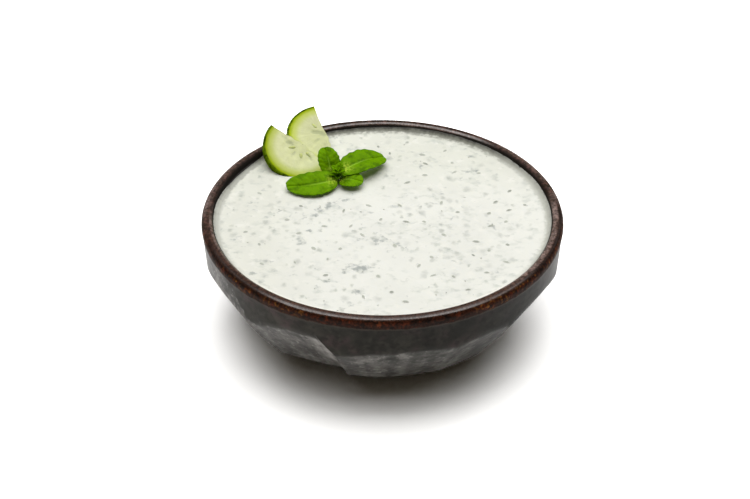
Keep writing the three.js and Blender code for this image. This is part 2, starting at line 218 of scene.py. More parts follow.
# Half sizes, tilts and turns of the fine flecks, from and to, and where none lie
FINE_SIZES = ((0.25, 0.25, 0.12), (0.8, 0.6, 0.22))
FINE_TURNS = ((-0.2, -0.2, -1.2), (0.2, 0.2, 1.2))
FINE_SINK = 0.08
FINE_CLEAR_AT = (-32, 48)
FINE_CLEAR_RADIUS = 24
FINE_EDGE_GAP = 2
FINE_CROWD = (0.26, 2.6)  # how crowded they are anywhere, and how much more in the smudges
FINE_LAYERS = [(0.5, 0.045, 6), (0.5, 0.12, 1)]
FINE_RANGE = (0.06, 2.2)

# ---- Sizes of the garnish

SLICE_THICKNESS = 3.6
SLICE_BEVEL = 0.35
SLICE_TURNS = 84
SLICE_RINGS = 45
SKIN_BULGE = 0.05
# The middle of the cut edge, bearing and rise of the face, turn of the cut edge, and the radius
SLICES = {
    "cucumber_slice_front": ((-39.6, 51.6, 64.2), 12, 60, 133, 18.7),
    "cucumber_slice_back": ((-28.5, 64.6, 62.8), 10, 70, 97.5, 18.7),
}
# On each slice's own face, the seeds, the hollows of lost ones with their depths, and where along the
# cut edge the pulp stands out
SEEDS = {
    "cucumber_slice_front": [(3.1, 3.3), (-3.3, 4.4), (-5.6, 1.4)],
    "cucumber_slice_back": [(6.8, 3.4)],
}
HOLLOWS = {
    "cucumber_slice_front": [(5.4, 2.0, 0.8), (0.4, 5.4, 0.5), (-8.2, 2.6, 0.4), (8.6, 1.2, 0.5)],
    "cucumber_slice_back": [(2.6, 4.1, 1.2), (0.9, 0.8, 1.1), (-2.4, 4.2, 0.5), (-6.0, 1.2, 0.4)],
}
HOLLOW_SIZE = (2.4, 1.1)  # half its length and width
SEED_HOLLOW = 0.45  # depth of the hollow round a seed
SEED_LENGTH = 3.8
SEED_SINK = 0.32  # how far under the face a seed's middle lies
PULP_AT = {"cucumber_slice_front": 1, "cucumber_slice_back": -4}
SHADED = {"cucumber_slice_front": 0.1, "cucumber_slice_back": 1.0}  # how much painted shade darkens its flesh

SPRIG_AT = (-21.6, 31.6)
STEM_RADIUS = 1.2
STEM_FOOT = 53.2
STEM_TOP = 61.4

LEAF_THICKNESS = 0.7
LEAF_EDGE = 0.3  # thickness at the edge
LEAF_ROWS = 84
LEAF_COLUMNS = 52
LEAF_VEINS = 6
LEAF_TEETH = 0.025
LEAF_QUILT = 0.05
LEAF_SWEEP = 1.1
# The end at the stem, heading, climb, roll, length, width, arch, droop, bow and fold
LEAVES = {
    "mint_leaf_left": ((-22.0, 29.5, 59), 194, 4, -20, 24.4, 14, 1.4, 2.4, 2.4, 0.1),
    "mint_leaf_right": ((-19.9, 33.4, 61), 36, 1, 12, 26, 14.4, 1.8, 2, 0, 0.12),
    "mint_leaf_back": ((-24.6, 33, 60), 109, 42, 0, 13.6, 10.8, 1.2, 0, 0, 0.2),
    "mint_leaf_front": ((-20.2, 30, 58.6), -14, 6, 12, 11.2, 10.6, 0.8, 0.8, 0, 0.1),
}
PAINTED_LEAF_SHADE = {"mint_leaf_right": 0.16}  # how much painted shade darkens a leaf's green, where it has any
# Young leaves round the top of the stem: heading, climb, length and width
BUD_LEAVES = [
    (62, 52, 6.6, 4.6),
    (150, 58, 5.6, 4.2),
    (238, 48, 5.4, 4),
    (322, 44, 6, 4.4),
    (20, 74, 4.6, 3.2),
    (200, 76, 4.2, 3),
    (190, 12, 4.4, 4.4),
    (352, 10, 4.4, 4.4),
    (272, 8, 3.4, 3.6),
]
BUD_SHAPE = (0.5, 0.2, 0, 0.3)  # their arch, droop, bow and fold
BUD_BELOW = 1.4  # how far under the stem's top they start
STALK_RADII = [0.75, 0.7, 0.65, 0.6, 0.55, 0.48, 0.3]

# ---- Sizes of the stage, in metres

AIM = (0, 0, 0.04)
BOWL_FILL = ((-0.55, -1.2, 0.17), (2.2, 0.5))
SOFTBOX = ((0, 0.28, 1.05), (1.7, 1.25))
BACK_PANEL = ((0, 1.35, 0.75), (2.4, 0.9))
SIDE_PANEL = ((0.95, 1.05, 0.72), (0.5, 0.5))
FLOOR_LIGHT = ((0, 0.03, 1.1), (1.5, 1.4))
ROOM_COLOUR = (1, 0.80, 0.50, 1)
FLOOR_SIDE = 5


# ---- Numbers


def smoothstep(x, low, high):
    """0 below low, 1 above high, and a soft S between them."""
    share = np.clip((np.asarray(x, float) - low) / (high - low), 0, 1)
    return share * share * (3 - 2 * share)


def stretch(x, begins, whole, ends, gone):
    """1 along a stretch of x, and 0 beside it, with soft ends."""
    return smoothstep(x, begins, whole) * (1 - smoothstep(x, ends, gone))


def hump(x, middle, reach):
    """1 at the middle, and falling softly to 0 on both sides."""
    return np.exp(-(((x - middle) / reach) ** 2))


def oval(x, y, angle, long, short):
    """A hump over an oval round the origin, whose long axis is turned by angle."""
    along = x * math.cos(angle) + y * math.sin(angle)
    across = y * math.cos(angle) - x * math.sin(angle)
    return hump(along, 0, long) * hump(across, 0, short)


def mix(a, b, share):
    """The value share of the way from a to b."""
    return a + (b - a) * share


def soft_min(a, b, width):
    """The lower of two values, with the corner between them rounded."""
    near = np.maximum(width - np.abs(a - b), 0) / width
    return np.minimum(a, b) - near * near * width / 4


def polar(bearing, radius, z):
    """Points at a bearing, a radius and a height, as rows of x, y and z."""
    turn = np.radians(bearing)
    parts = np.broadcast_arrays(radius * np.sin(turn), -radius * np.cos(turn), z)
    return np.stack(parts, -1).astype(float)


def rounded_profile(heights, radii):
    """A profile of radius over height with softened corners, as its heights and its radii."""
    step = 0.2
    fine = np.arange(heights[0], heights[-1] + step / 2, step)
    straight = np.interp(fine, heights, radii)
    window = np.hanning(int(CORNER_REACH / step) | 1)
    padded = np.concatenate(
        [
            2 * straight[0] - straight[1 : len(window) // 2 + 1][::-1],
            straight,
            2 * straight[-1] - straight[-len(window) // 2 : -1][::-1],
        ]
    )
    soft = np.convolve(padded, window / window.sum(), "valid")[: len(fine)]
    return fine, soft


def scaled(colour, factor):
    """A colour made lighter or darker."""
    return tuple(c * factor for c in colour)


def noise_at(points, scale, offset=0.0):
    """Smooth noise, about -1 to 1, at each point."""
    shift = Vector((offset, offset * 0.7, offset * 1.3))
    return np.array([noise.noise(Vector(p) * scale + shift) for p in points])


def layered(points, layers):
    """A sum of noises at points, with a share, a scale and an offset for each."""
    return sum(share * noise_at(points, scale, offset) for share, scale, offset in layers)


def random_from(seed):
    """An endless seeded run of numbers from 0 to 1, the same that sets the solid's flecks."""
    state = seed
    while True:
        state = state * 48271 % 2147483647
        yield state / 2147483647


# ---- Meshes


def make_object(name, points, faces, material=None, attributes=None):
    """A smooth mesh object from points in millimetres, with float attributes on its points."""
    mesh = bpy.data.meshes.new(name)
    mesh.from_pydata((np.asarray(points, float) * MM).tolist(), [], faces)
    mesh.validate()
    mesh.shade_smooth()
    for key, values in (attributes or {}).items():
        layer = mesh.attributes.new(key, "FLOAT", "POINT")
        layer.data.foreach_set("value", np.asarray(values, np.float32))
    if material:
        mesh.materials.append(material)
    made = bpy.data.objects.new(name, mesh)
    bpy.context.scene.collection.objects.link(made)
    return made


def ring_faces(rows, columns, start=0):
    """Faces between closed rings of points that lie one after another, the first ring lowest."""
    faces = []
    for row in range(rows - 1):
        low = start + row * columns
        for k in range(columns):
            after = (k + 1) % columns
            faces.append((low + k, low + after, low + columns + after, low + columns + k))
    return faces


def sheet_faces(rows, columns, start=0, flip=False):
    """Faces of an open grid of points, which face up where rows run along X and columns along Y."""
    faces = []
    for row in range(rows - 1):
        for k in range(columns - 1):
            a = start + row * columns + k
            face = (a, a + columns, a + columns + 1, a + 1)
            faces.append(face[::-1] if flip else face)
    return faces


def finish_piece(piece, slot, *nodes):
    """Puts a piece on its body, in the place of solids. Its slot is not used."""
    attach(piece, BODY)
    if nodes:
        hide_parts(*nodes)
    return piece


# ---- Node trees


class Wire:
    """An output socket. Arithmetic on it adds Math nodes to its tree."""

    def __init__(self, graph, socket):
        self.graph = graph
        self.socket = socket

    def of(self, name):
        """Another output of the same node."""
        return Wire(self.graph, pick(self.socket.node.outputs, name))

    def __add__(self, other):
        return self.graph.maths("ADD", self, other)

    __radd__ = __add__

    def __sub__(self, other):
        return self.graph.maths("SUBTRACT", self, other)

    def __rsub__(self, other):
        return self.graph.maths("SUBTRACT", other, self)

    def __mul__(self, other):
        return self.graph.maths("MULTIPLY", self, other)

    __rmul__ = __mul__

    def __abs__(self):
        return self.graph.maths("ABSOLUTE", self)


def pick(sockets, key):
    """The socket in use with that name, or at that place among those in use."""
    live = [s for s in sockets if s.enabled]
    return live[key] if isinstance(key, int) else next(s for s in live if s.name == key)


class Graph:
    """A node tree whose nodes all come from one method."""

    def __init__(self, tree):
        self.tree = tree
        tree.nodes.clear()

    def node(self, kind, settings=None, inputs=None, output=0):
        """Adds a node, sets it up, feeds its sockets with values or wires, and gives one output."""
        made = self.tree.nodes.new(kind)
        for name, value in (settings or {}).items():
            setattr(made, name, value)
        for key, value in (inputs or {}).items():
            socket = pick(made.inputs, key)
            if isinstance(value, Wire):
                self.tree.links.new(value.socket, socket)
            else:
                socket.default_value = value
        if not len(made.outputs):
            return None
        return Wire(self, pick(made.outputs, output))

    def maths(self, operation, a, b=None):
        inputs = {0: a} if b is None else {0: a, 1: b}
        return self.node("ShaderNodeMath", {"operation": operation}, inputs)

    def vector(self, operation, a, b=None):
        inputs = {0: a} if b is None else {0: a, 1: b}
        return self.node("ShaderNodeVectorMath", {"operation": operation}, inputs)

    def times(self, at, *factors):
        """A vector with X, Y and Z multiplied by three factors."""
        return self.vector("MULTIPLY", at, factors)

    def split(self, vector, output):
        """One of a vector's parts. The other two are its other outputs."""
        return self.node("ShaderNodeSeparateXYZ", {}, {0: vector}, output)

    def join(self, **parts):
        """A vector from the parts X, Y and Z."""
        return self.node("ShaderNodeCombineXYZ", {}, parts)

    def step(self, value, low, high):
        """0 below low, 1 above high, and a soft S between them."""
        return self.node(
            "ShaderNodeMapRange",
            {"interpolation_type": "SMOOTHSTEP"},
            {"Value": value, "From Min": low, "From Max": high},
        )

    def blend(self, share, a, b, kind="MIX"):
        """The colour share of the way from a to b."""
        colours = [c if isinstance(c, Wire) else (*c[:3], 1) for c in (a, b)]
        return self.node(
            "ShaderNodeMix",
            {"data_type": "RGBA", "blend_type": kind},
            {"Factor": share, "A": colours[0], "B": colours[1]},
        )

    def tinted(self, colour, tint):
        """A colour multiplied by another."""
        return self.blend(1.0, colour, tint, "MULTIPLY")

    def place(self):
        """Object coordinates in millimetres."""
        here = self.node("ShaderNodeTexCoord", {}, {}, "Object")
        return self.times(here, 1 / MM, 1 / MM, 1 / MM)

    def noise(self, at, size, detail=2.0, roughness=0.5, stretch=(1, 1, 1)):
        """Noise from 0 to 1 whose features are about size millimetres across."""
        at = self.times(at, *(1 / (size * s) for s in stretch))
        inputs = {"Vector": at, "Scale": 1.0, "Detail": detail, "Roughness": roughness}
        return self.node("ShaderNodeTexNoise", {}, inputs)

    def drift(self, at, scale, reach):
        """A level shift out of noise at a place, of up to reach millimetres each way."""
        at = self.times(at, scale, scale, scale)
        shift = self.node("ShaderNodeTexNoise", {}, {"Vector": at, "Scale": 1.0}, "Color")
        return self.times(shift, reach, reach, 0)

    def cells(self, at, size, stretch=(1, 1, 1)):
        """Distance to the nearest of scattered points about size millimetres apart, in their spacing."""
        at = self.times(at, *(1 / (size * s) for s in stretch))
        return self.node("ShaderNodeTexVoronoi", {}, {"Vector": at, "Scale": 1.0})

    def patches(self, colour, other, at, size, span, share=1.0, detail=2):
        """A colour with soft patches of another, about size millimetres across."""
        patch = self.step(self.noise(at, size, detail=detail), *span)
        return self.blend(patch * share, colour, other)

    def named(self, name, kind="FLOAT_VECTOR"):
        """A named attribute, in a Geometry Nodes tree."""
        return self.node("GeometryNodeInputNamedAttribute", {"data_type": kind}, {"Name": name})

    def random(self, kind, low, high, seed):
        inputs = {"Min": low, "Max": high, "Seed": seed}
        return self.node("FunctionNodeRandomValue", {"data_type": kind}, inputs)

    def stored(self, geometry, domain, name, value):
        """Geometry with a value kept in a named attribute."""
        inputs = {"Geometry": geometry, "Name": name, "Value": value}
        settings = {"data_type": "FLOAT", "domain": domain}
        return self.node("GeometryNodeStoreNamedAttribute", settings, inputs)

    def attribute(self, name):
        return self.node("ShaderNodeAttribute", {"attribute_name": name}, {}, "Fac")

    def bump(self, height, strength, distance, normal=None):
        inputs = {"Strength": strength, "Distance": distance * MM, "Height": height}
        if normal:
            inputs["Normal"] = normal
        return self.node("ShaderNodeBump", {}, inputs)

    def surface(self, **inputs):
        """Ends the tree in a Principled shader. A name's underscores stand for spaces."""
        fed = {name.replace("_", " "): value for name, value in inputs.items()}
        shader = self.node("ShaderNodeBsdfPrincipled", {}, fed)
        self.node("ShaderNodeOutputMaterial", {}, {"Surface": shader})


def new_graph(name):
    """A new material and its empty tree."""
    material = bpy.data.materials.new(name)
    material.use_nodes = True
    return material, Graph(material.node_tree)


def geometry_tree(name, inputs):
    """A Geometry Nodes tree with named inputs. It returns the tree, its graph and the group input."""
    tree = bpy.data.node_groups.new(name, "GeometryNodeTree")
    tree.interface.new_socket("Geometry", in_out="INPUT", socket_type="NodeSocketGeometry")
    for label, kind in inputs.items():
        tree.interface.new_socket(label, in_out="INPUT", socket_type=kind)
    tree.interface.new_socket("Geometry", in_out="OUTPUT", socket_type="NodeSocketGeometry")
    graph = Graph(tree)
    return tree, graph, graph.node("NodeGroupInput", {}, {}, "Geometry")


def close_tree(graph, instances, material):
    """Ends a tree: instances made real, shaded smooth and given their material."""
    real = graph.node("GeometryNodeRealizeInstances", {}, {"Geometry": instances})
    smooth = graph.node("GeometryNodeSetShadeSmooth", {}, {"Geometry": real})
    painted = graph.node("GeometryNodeSetMaterial", {}, {"Geometry": smooth, "Material": material})
    graph.node("NodeGroupOutput", {}, {"Geometry": painted})


def grown(name, base, tree, values):
    """The plain mesh object that a tree makes from a base object, which keeps its own mesh."""
    modifier = base.modifiers.new("Growth", "NODES")
    modifier.node_group = tree
    for item in tree.interface.items_tree:
        if item.in_out == "INPUT" and item.name in values:
            modifier[item.identifier] = values[item.name]
    graph = bpy.context.evaluated_depsgraph_get()
    mesh = bpy.data.meshes.new_from_object(
        base.evaluated_get(graph), preserve_all_data_layers=True, depsgraph=graph
    )
    base.modifiers.remove(modifier)
    mesh.name = name
    made = bpy.data.objects.new(name, mesh)
    bpy.context.scene.collection.objects.link(made)
    return made


def point_object(name, points, attributes):
    """An object of loose points in millimetres, with vector attributes, for a tree to grow on."""
    made = make_object(name, points, [])
    for key, values in attributes.items():
        layer = made.data.attributes.new(key, "FLOAT_VECTOR", "POINT")
        layer.data.foreach_set("vector", np.asarray(values, np.float32).ravel())
    return made


# ---- Settings


class BowlSettings(bpy.types.PropertyGroup):
    rim_radius: bpy.props.FloatProperty(
        name="Rim Radius", description="Outer radius of the bowl", default=0.085, unit="LENGTH"
    )
    height: bpy.props.FloatProperty(
        name="Height", description="Height of the rim over the table", default=0.060, unit="LENGTH"
    )
    lip_round: bpy.props.FloatProperty(
        name="Lip Rounding",
        description="Radius of the lip's outer corner",
        default=0.003,
        unit="LENGTH",
    )
    tool_marks: bpy.props.FloatProperty(
        name="Tool Marks",
        description="Depth of the marks in the carved cuts",
        default=0.00034,
        unit="LENGTH",
    )
    band: bpy.props.FloatVectorProperty(
        name="Band Glaze",
        description="Charcoal glaze of the plain band",
        default=(0.0140, 0.0128, 0.0104),
        subtype="COLOR",
    )
    cut: bpy.props.FloatVectorProperty(
        name="Cut Glaze",
        description="Thinner, greyer glaze on the carved cuts",
        default=(0.062, 0.060, 0.0555),
        subtype="COLOR",
    )
    rim: bpy.props.FloatVectorProperty(
        name="Rim Glaze",
        description="Red-brown glaze where it breaks over the rim",
        default=(0.022, 0.0068, 0.0030),
        subtype="COLOR",
    )
    amber: bpy.props.FloatVectorProperty(
        name="Amber Flecks",
        description="Bright spots in the rim's glaze",
        default=(0.16, 0.066, 0.011),
        subtype="COLOR",
    )
    clay: bpy.props.FloatVectorProperty(
        name="Bare Clay",
        description="Unglazed foot ring",
        default=(0.22, 0.15, 0.10),
        subtype="COLOR",
    )


class DipSettings(bpy.types.PropertyGroup):
    level: bpy.props.FloatProperty(
        name="Level", description="Height of the dip's surface", default=0.0562, unit="LENGTH"
    )
    lumps: bpy.props.FloatProperty(
        name="Lumps",
        description="Height of the small lumps in the surface",
        default=0.00013,
        unit="LENGTH",
    )
    colour: bpy.props.FloatVectorProperty(
        name="Yoghurt",
        description="Colour of the plain dip",
        default=(0.83, 0.84, 0.785),
        subtype="COLOR",
    )
    shade: bpy.props.FloatVectorProperty(
        name="Whey",
        description="Colour where cucumber lies just under",
        default=(0.50, 0.54, 0.49),
        subtype="COLOR",
    )
    herb: bpy.props.FloatVectorProperty(
        name="Herb",
        description="Colour of the darkest flecks",
        default=(0.30, 0.325, 0.275),
        subtype="COLOR",
    )
    fine_flecks: bpy.props.FloatProperty(
        name="Fine Flecks", description="Small flecks on each square metre", default=6500, min=0
    )


class GarnishSettings(bpy.types.PropertyGroup):
    flesh: bpy.props.FloatVectorProperty(
        name="Cucumber Flesh",
        description="Pale flesh of the slices",
        default=(0.84, 0.873, 0.50),
        subtype="COLOR",
    )
    under_skin: bpy.props.FloatVectorProperty(
        name="Under the Skin",
        description="Green ring inside the skin",
        default=(0.36, 0.47, 0.004),
        subtype="COLOR",
    )
    skin: bpy.props.FloatVectorProperty(
        name="Cucumber Skin",
        description="Dark green skin",
        default=(0.030, 0.062, 0.0008),
        subtype="COLOR",
    )
    seed: bpy.props.FloatVectorProperty(
        name="Seeds",
        description="Soft seeds of the cucumber",
        default=(0.60, 0.65, 0.22),
        subtype="COLOR",
    )
    leaf: bpy.props.FloatVectorProperty(
        name="Mint Leaf",
        description="Middle green of the leaves",
        default=(0.150, 0.33, 0.0),
        subtype="COLOR",
    )
    # Also the colour of the painted shade in the hollows and on the right leaf
    leaf_dark: bpy.props.FloatVectorProperty(
        name="Mint Shade",
        description="Dark green in the hollows",
        default=(0.070, 0.170, 0.0),
        subtype="COLOR",
    )
    vein: bpy.props.FloatVectorProperty(
        name="Mint Vein",
        description="Pale green of the midribs",
        default=(0.34, 0.60, 0.05),
        subtype="COLOR",
    )


class StageSettings(bpy.types.PropertyGroup):
    distance: bpy.props.FloatProperty(
        name="Camera Distance",
        description="From the camera to its target",
        default=1.0,
        unit="LENGTH",
    )
    elevation: bpy.props.FloatProperty(
        name="Camera Elevation",
        description="Height of the camera over the horizon",
        default=math.radians(35.02),
        subtype="ANGLE",
    )
    lens: bpy.props.FloatProperty(
        name="Lens", description="Focal length on a 36 mm sensor", default=101.2
    )
    target: bpy.props.FloatVectorProperty(
        name="Camera Target",
        description="Point that the camera looks at",
        default=(-0.00348, -0.00193, 0.040),
        subtype="TRANSLATION",
    )
    key_power: bpy.props.FloatProperty(
        name="Softbox Power",
        description="Power of the overhead softbox",
        default=18.0,
        unit="POWER",
    )
    back_power: bpy.props.FloatProperty(
        name="Back Panel Power",
        description="Power of the low panel behind the bowl",
        default=1.0,
        unit="POWER",
    )
    side_power: bpy.props.FloatProperty(
        name="Side Panel Power",
        description="Power of the small panel behind on the right",
        default=1.6,
        unit="POWER",
    )
    fill_power: bpy.props.FloatProperty(
        name="Bowl Fill Power",
        description="Power of the low front light that reaches only the bowl",
        default=4.5,
        unit="POWER",
    )
    floor_power: bpy.props.FloatProperty(
        name="Floor Light Power",
        description="Power of the overhead light that reaches only the floor",
        default=25.0,
        unit="POWER",
    )
    ambient: bpy.props.FloatProperty(
        name="Ambient", description="Brightness of the room", default=0.07, min=0
    )


# ---- Bowl


CUT_LINE = rounded_profile(CUT_HEIGHTS, CUT_RADII)
WALL_LINE = rounded_profile(INNER_HEIGHTS, INNER_RADII)


def cut_radius(columns, bearing, z):
    """Radius of the cut that each column belongs to. Inside a step it runs from one cut to the next."""
    own, other, share = columns
    high = smoothstep(z, LOW_BELOW, HIGH_ABOVE)
    middle = np.interp(z, *CUT_LINE) + np.maximum(z - SHOULDER_Z, 0) * CUT_SLOPE
    radii = []
    for cut in (CUTS[own], CUTS[other]):
        face, deep, low_face, low_deep, low_flat, flat = cut.T[2:]
        off = (bearing - mix(low_face, face, high) + 180) % 360 - 180
        drop = np.cos(np.radians(off)) ** mix(low_flat, flat, high)
        radii.append((middle - mix(low_deep, deep, high)) / drop)
    return mix(radii[1], radii[0], share)


def bowl_columns():
    """Bearings of the bowl's columns, and for each its cut, its neighbour and the share of its own."""
    bearings, own, other, share = [], [], [], []
    count = len(CUTS)
    step = np.linspace(0, 1, STEP_COLUMNS + 2)[1:-1]
    for i, (start, end) in enumerate(CUTS[:, :2]):
        first, last = start + STEP_WIDTH / 2, end - STEP_WIDTH / 2
        inner = np.linspace(first, last, round((end - start) / COLUMN_STEP) + 1)
        bearings += [*inner, *(last + step * STEP_WIDTH)]
        own += [i] * (len(inner) + len(step))
        other += [i] * len(inner) + [(i + 1) % count] * len(step)
        share += [1.0] * len(inner) + list(1 - step)
    return np.array(bearings), (np.array(own), np.array(other), np.array(share))


def leaning(bearing, z):
    """Bearings moved by the lean of the deepest step."""
    near = hump(bearing, LEAN_BEARING, LEAN_REACH)
    return bearing + LEAN_ANGLE * near * smoothstep(z, LEAN_FROM_Z, LEAN_TO_Z)


def band_radius(z, rim_radius, height):
    """Radius of the plain band between the cuts and the lip."""
    fall = (height - z) / (height - SHOULDER_Z)
    return rim_radius - (rim_radius - SHOULDER_RADIUS) * fall


def crease_heights(columns, bearings, rim_radius, height):
    """The height at which each column leaves its cut for the band."""
    low = np.full(len(bearings), float(CUT_BASE))
    high = np.full(len(bearings), float(BAND_TOP))
    for _ in range(CREASE_HALVINGS):
        z = (low + high) / 2
        inside = cut_radius(columns, leaning(bearings, z), z) < band_radius(z, rim_radius, height)
        low = np.where(inside, z, low)
        high = np.where(inside, high, z)
    return low


def rim_stretches(bearings):
    """How far each bearing lies in the stretches of the rim, from 0 to 1."""
    far_right = stretch(bearings, *RIM_FAR_RIGHT)
    begins, whole, ends, gone = RIM_FAR_LEFT
    far_left = np.maximum(smoothstep(bearings, begins, whole), 1 - smoothstep(bearings, ends, gone))
    right = stretch(bearings, *RIM_RIGHT)
    rises, falls = smoothstep(bearings, *RIM_FRONT[:2]), smoothstep(bearings, *RIM_FRONT[2:])
    return {
        "right": right,
        "near_right": right * (1 - far_right),
        "far": np.maximum(far_left, far_right),
        "back": stretch(bearings, *RIM_BACK),
        "left": stretch(bearings, *RIM_LEFT),
        "front": mix(0.12, 1, rises) * mix(1, 0.45, falls),
        "early": hump(bearings, *RIM_EARLY),
    }


def outer_lip_glaze(turn, rim):
    """Shine, painted sheen and painted shade of the glaze at a turn round the lip's outer corner."""
    high = turn + 3 * rim["early"]
    shine = mix(BAND_SHINE, rim["front"], smoothstep(high, 42, 56))
    shine = shine * mix(1, 0.12, smoothstep(high, 68, 80))
    shine = shine * (1 - 0.85 * rim["right"]) * (1 - 0.9 * rim["far"])
    painted_sheen = rim["far"] * smoothstep(turn, 30, 48) * mix(1, 0.3, smoothstep(turn, 70, 88))
    painted_sheen = np.maximum(painted_sheen, rim["near_right"] * smoothstep(turn, 74, 90))
    # Painted shade on the lip's outer corner at the right, the left and the back
    painted_lip_shade = rim["near_right"] * stretch(turn, 36, 48, 70, 82)
    painted_lip_shade = np.maximum(painted_lip_shade, 0.8 * rim["left"] * stretch(turn, 30, 44, 72, 88))
    return shine, painted_sheen, np.maximum(painted_lip_shade, 0.35 * rim["back"] * smoothstep(turn, 56, 76))


def inner_lip_glaze(turn, rim):
    """The same for a turn round the lip's inner rounding, and how far the inside's glaze has begun."""
    low = turn - 9 * rim["back"]
    shine = mix(0.12, 1.1, smoothstep(low, 3, 14)) * mix(1, 0.1, smoothstep(low, 30, 50))
    painted_sheen = np.maximum(smoothstep(low, 0, 10), rim["right"]) * (1 - smoothstep(low, 28, 46))
    painted_sheen = painted_sheen * (1 - rim["far"])
    painted_sheen = np.maximum(painted_sheen, 0.3 * rim["far"] * (1 - smoothstep(turn, 0, 14)))
    # Painted shade on the lip's inner rounding at the back and the far sides
    painted_lip_shade = 0.35 * rim["back"] * (1 - smoothstep(turn, 6, 16))
    painted_lip_shade = np.maximum(rim["far"] * smoothstep(turn, 0, 32), painted_lip_shade)
    return shine * (1 - 0.95 * rim["far"]), painted_sheen, painted_lip_shade, smoothstep(low, 36, 46)


def foot_profile():
    """Radius and height of the rings from the underside round the foot to just under the cuts."""
    inside, outside = FOOT_RADIUS - FOOT_WIDTH, FOOT_RADIUS - FOOT_BEVEL
    return [
        *((radius, FOOT_RECESS) for radius in UNDERSIDE_RINGS),
        (inside - FOOT_RECESS, FOOT_RECESS),
        (inside - 0.5, 0.25),
        (inside, 0),
        (outside, 0),
        (FOOT_RADIUS - FOOT_BEVEL * 0.3, FOOT_BEVEL * 0.3),
        (FOOT_RADIUS, FOOT_BEVEL),
        (FOOT_RADIUS, FOOT_HEIGHT),
        (FOOT_RADIUS + 2.5, FOOT_HEIGHT + 0.2),
        (FOOT_RADIUS + 6, FOOT_HEIGHT + 0.7),
    ]


def bowl_rings(settings):
    """Rings of points from the middle of the underside round to the middle of the inside, how much
    each point lies in a cut, how glossy its glaze is, and where it has a painted sheen and painted shade."""
    rim_radius, height, lip = settings.rim_radius / MM, settings.height / MM, settings.lip_round / MM
    bearings, columns = bowl_columns()
    rim = rim_stretches(bearings)
    # A painted highlight on the cut beside the deepest step
    ridge_highlight = hump(bearings, RIDGE_BEARING, RIDGE_REACH) * (bearings < LEAN_BEARING)
    rings = []
    values = {"cut": [], "gloss": [], "painted_sheen": [], "painted_lip_shade": [], "inner": []}

    def ring(turned, radius, z, gloss=BAND_SHINE, painted_sheen=0, painted_lip_shade=0, inner=0, cut=0):
        rings.append(polar(turned, radius, z))
        for name, value in zip(values, (cut, gloss, painted_sheen, painted_lip_shade, inner)):
            values[name].append(np.zeros(len(bearings)) + value)

    for radius, z in foot_profile():
        ring(bearings, radius, z)

    crease = crease_heights(columns, bearings, rim_radius, height)
    marks = settings.tool_marks / MM
    rows = [mix(CUT_BASE, crease, share) for share in np.linspace(0, 1, CUT_ROWS)]
    rows += [mix(crease, BAND_TOP, share) for share in np.linspace(0, 1, BAND_ROWS)[1:]]
    for z in rows:
        lean = leaning(bearings, z)
        band = band_radius(z, rim_radius, height)
        cut = cut_radius(columns, lean, z)
        radius = np.maximum(soft_min(band, cut, EDGE_ROUND), FOOT_RADIUS + 1)
        in_cut = smoothstep(band - cut, *CUT_DEPTHS)
        points = polar(lean, radius, z)
        relief = marks * (layered(points, MARK_LAYERS) - MARK_MIDDLE)
        ripple = BAND_RIPPLE * noise_at(points * (0.5, 0.5, 1.6), 0.2, 3)
        radius = radius + relief * in_cut + ripple * (1 - in_cut)
        gloss = mix(BAND_SHINE, CUT_SHINE, in_cut)
        ring(lean, radius, z, gloss, ridge_highlight * in_cut * smoothstep(z, *RIDGE_Z), cut=in_cut)

    for turn in LIP_OUTER_TURNS:
        out, up = lip * math.cos(math.radians(turn)), lip * math.sin(math.radians(turn))
        ring(bearings, rim_radius - lip + out, height - lip + up, *outer_lip_glaze(turn, rim))
    top = rim_radius - lip - LIP_TOP
    for turn in LIP_INNER_TURNS:
        angle = math.radians(turn)
        radius, z = top - LIP_INNER[0] * math.sin(angle), height - LIP_INNER[1] * (1 - math.cos(angle))
        ring(bearings, radius, z, *inner_lip_glaze(turn, rim))
    for z in INNER_ROWS:
        ring(bearings, np.interp(z, *WALL_LINE), z, INSIDE_SHINE, inner=1)
    ring(bearings, FLOOR_RING, FLOOR_TOP + 0.5, INSIDE_SHINE, inner=1)
    return rings, values


def bowl_mesh(settings, material):
    """The bowl as one closed body of rings, with a point in the middle of its underside and inside."""
    rings, values = bowl_rings(settings)
    columns = len(rings[0])
    points = np.concatenate([*rings, [[0, 0, FOOT_RECESS]], [[0, 0, FLOOR_TOP]]])
    faces = ring_faces(len(rings), columns)
    low = len(rings) * columns
    last = low - columns
    for k in range(columns):
        after = (k + 1) % columns
        faces.append((low, after, k))
        faces.append((low + 1, last + k, last + after))
    values = {name: np.concatenate([*rows, [0, rows[-1][0]]]) for name, rows in values.items()}
    return make_object("carved_bowl", points, faces, material, values)


# Tones of the glaze, and of its painted sheen, highlights and shade, that the settings don't have
PURPLE_BROWN = (0.036, 0.023, 0.024)
RUST = (0.064, 0.0130, 0.0038)
RED_BLACK = (0.006, 0.0032, 0.002)
FRONT_AMBER = (0.15, 0.036, 0.010)
LIP_BROWN = (0.060, 0.034, 0.026)
BACK_BROWN = (0.040, 0.026, 0.017)
BACK_GREY = (0.100, 0.052, 0.044)
BACK_DARK = (0.020, 0.014, 0.009)
PAINTED_SHEEN_GREY = (0.155, 0.116, 0.106)
UNDER_LIP = (0.009, 0.0045, 0.0028)
PAINTED_HIGHLIGHT_PINK = (0.21, 0.155, 0.14)
PAINTED_SHADE_BROWN = (0.010, 0.0045, 0.003)
BEAD_BROWN = (0.055, 0.042, 0.033)
INSIDE_BLACK = (0.012, 0.0105, 0.0085)
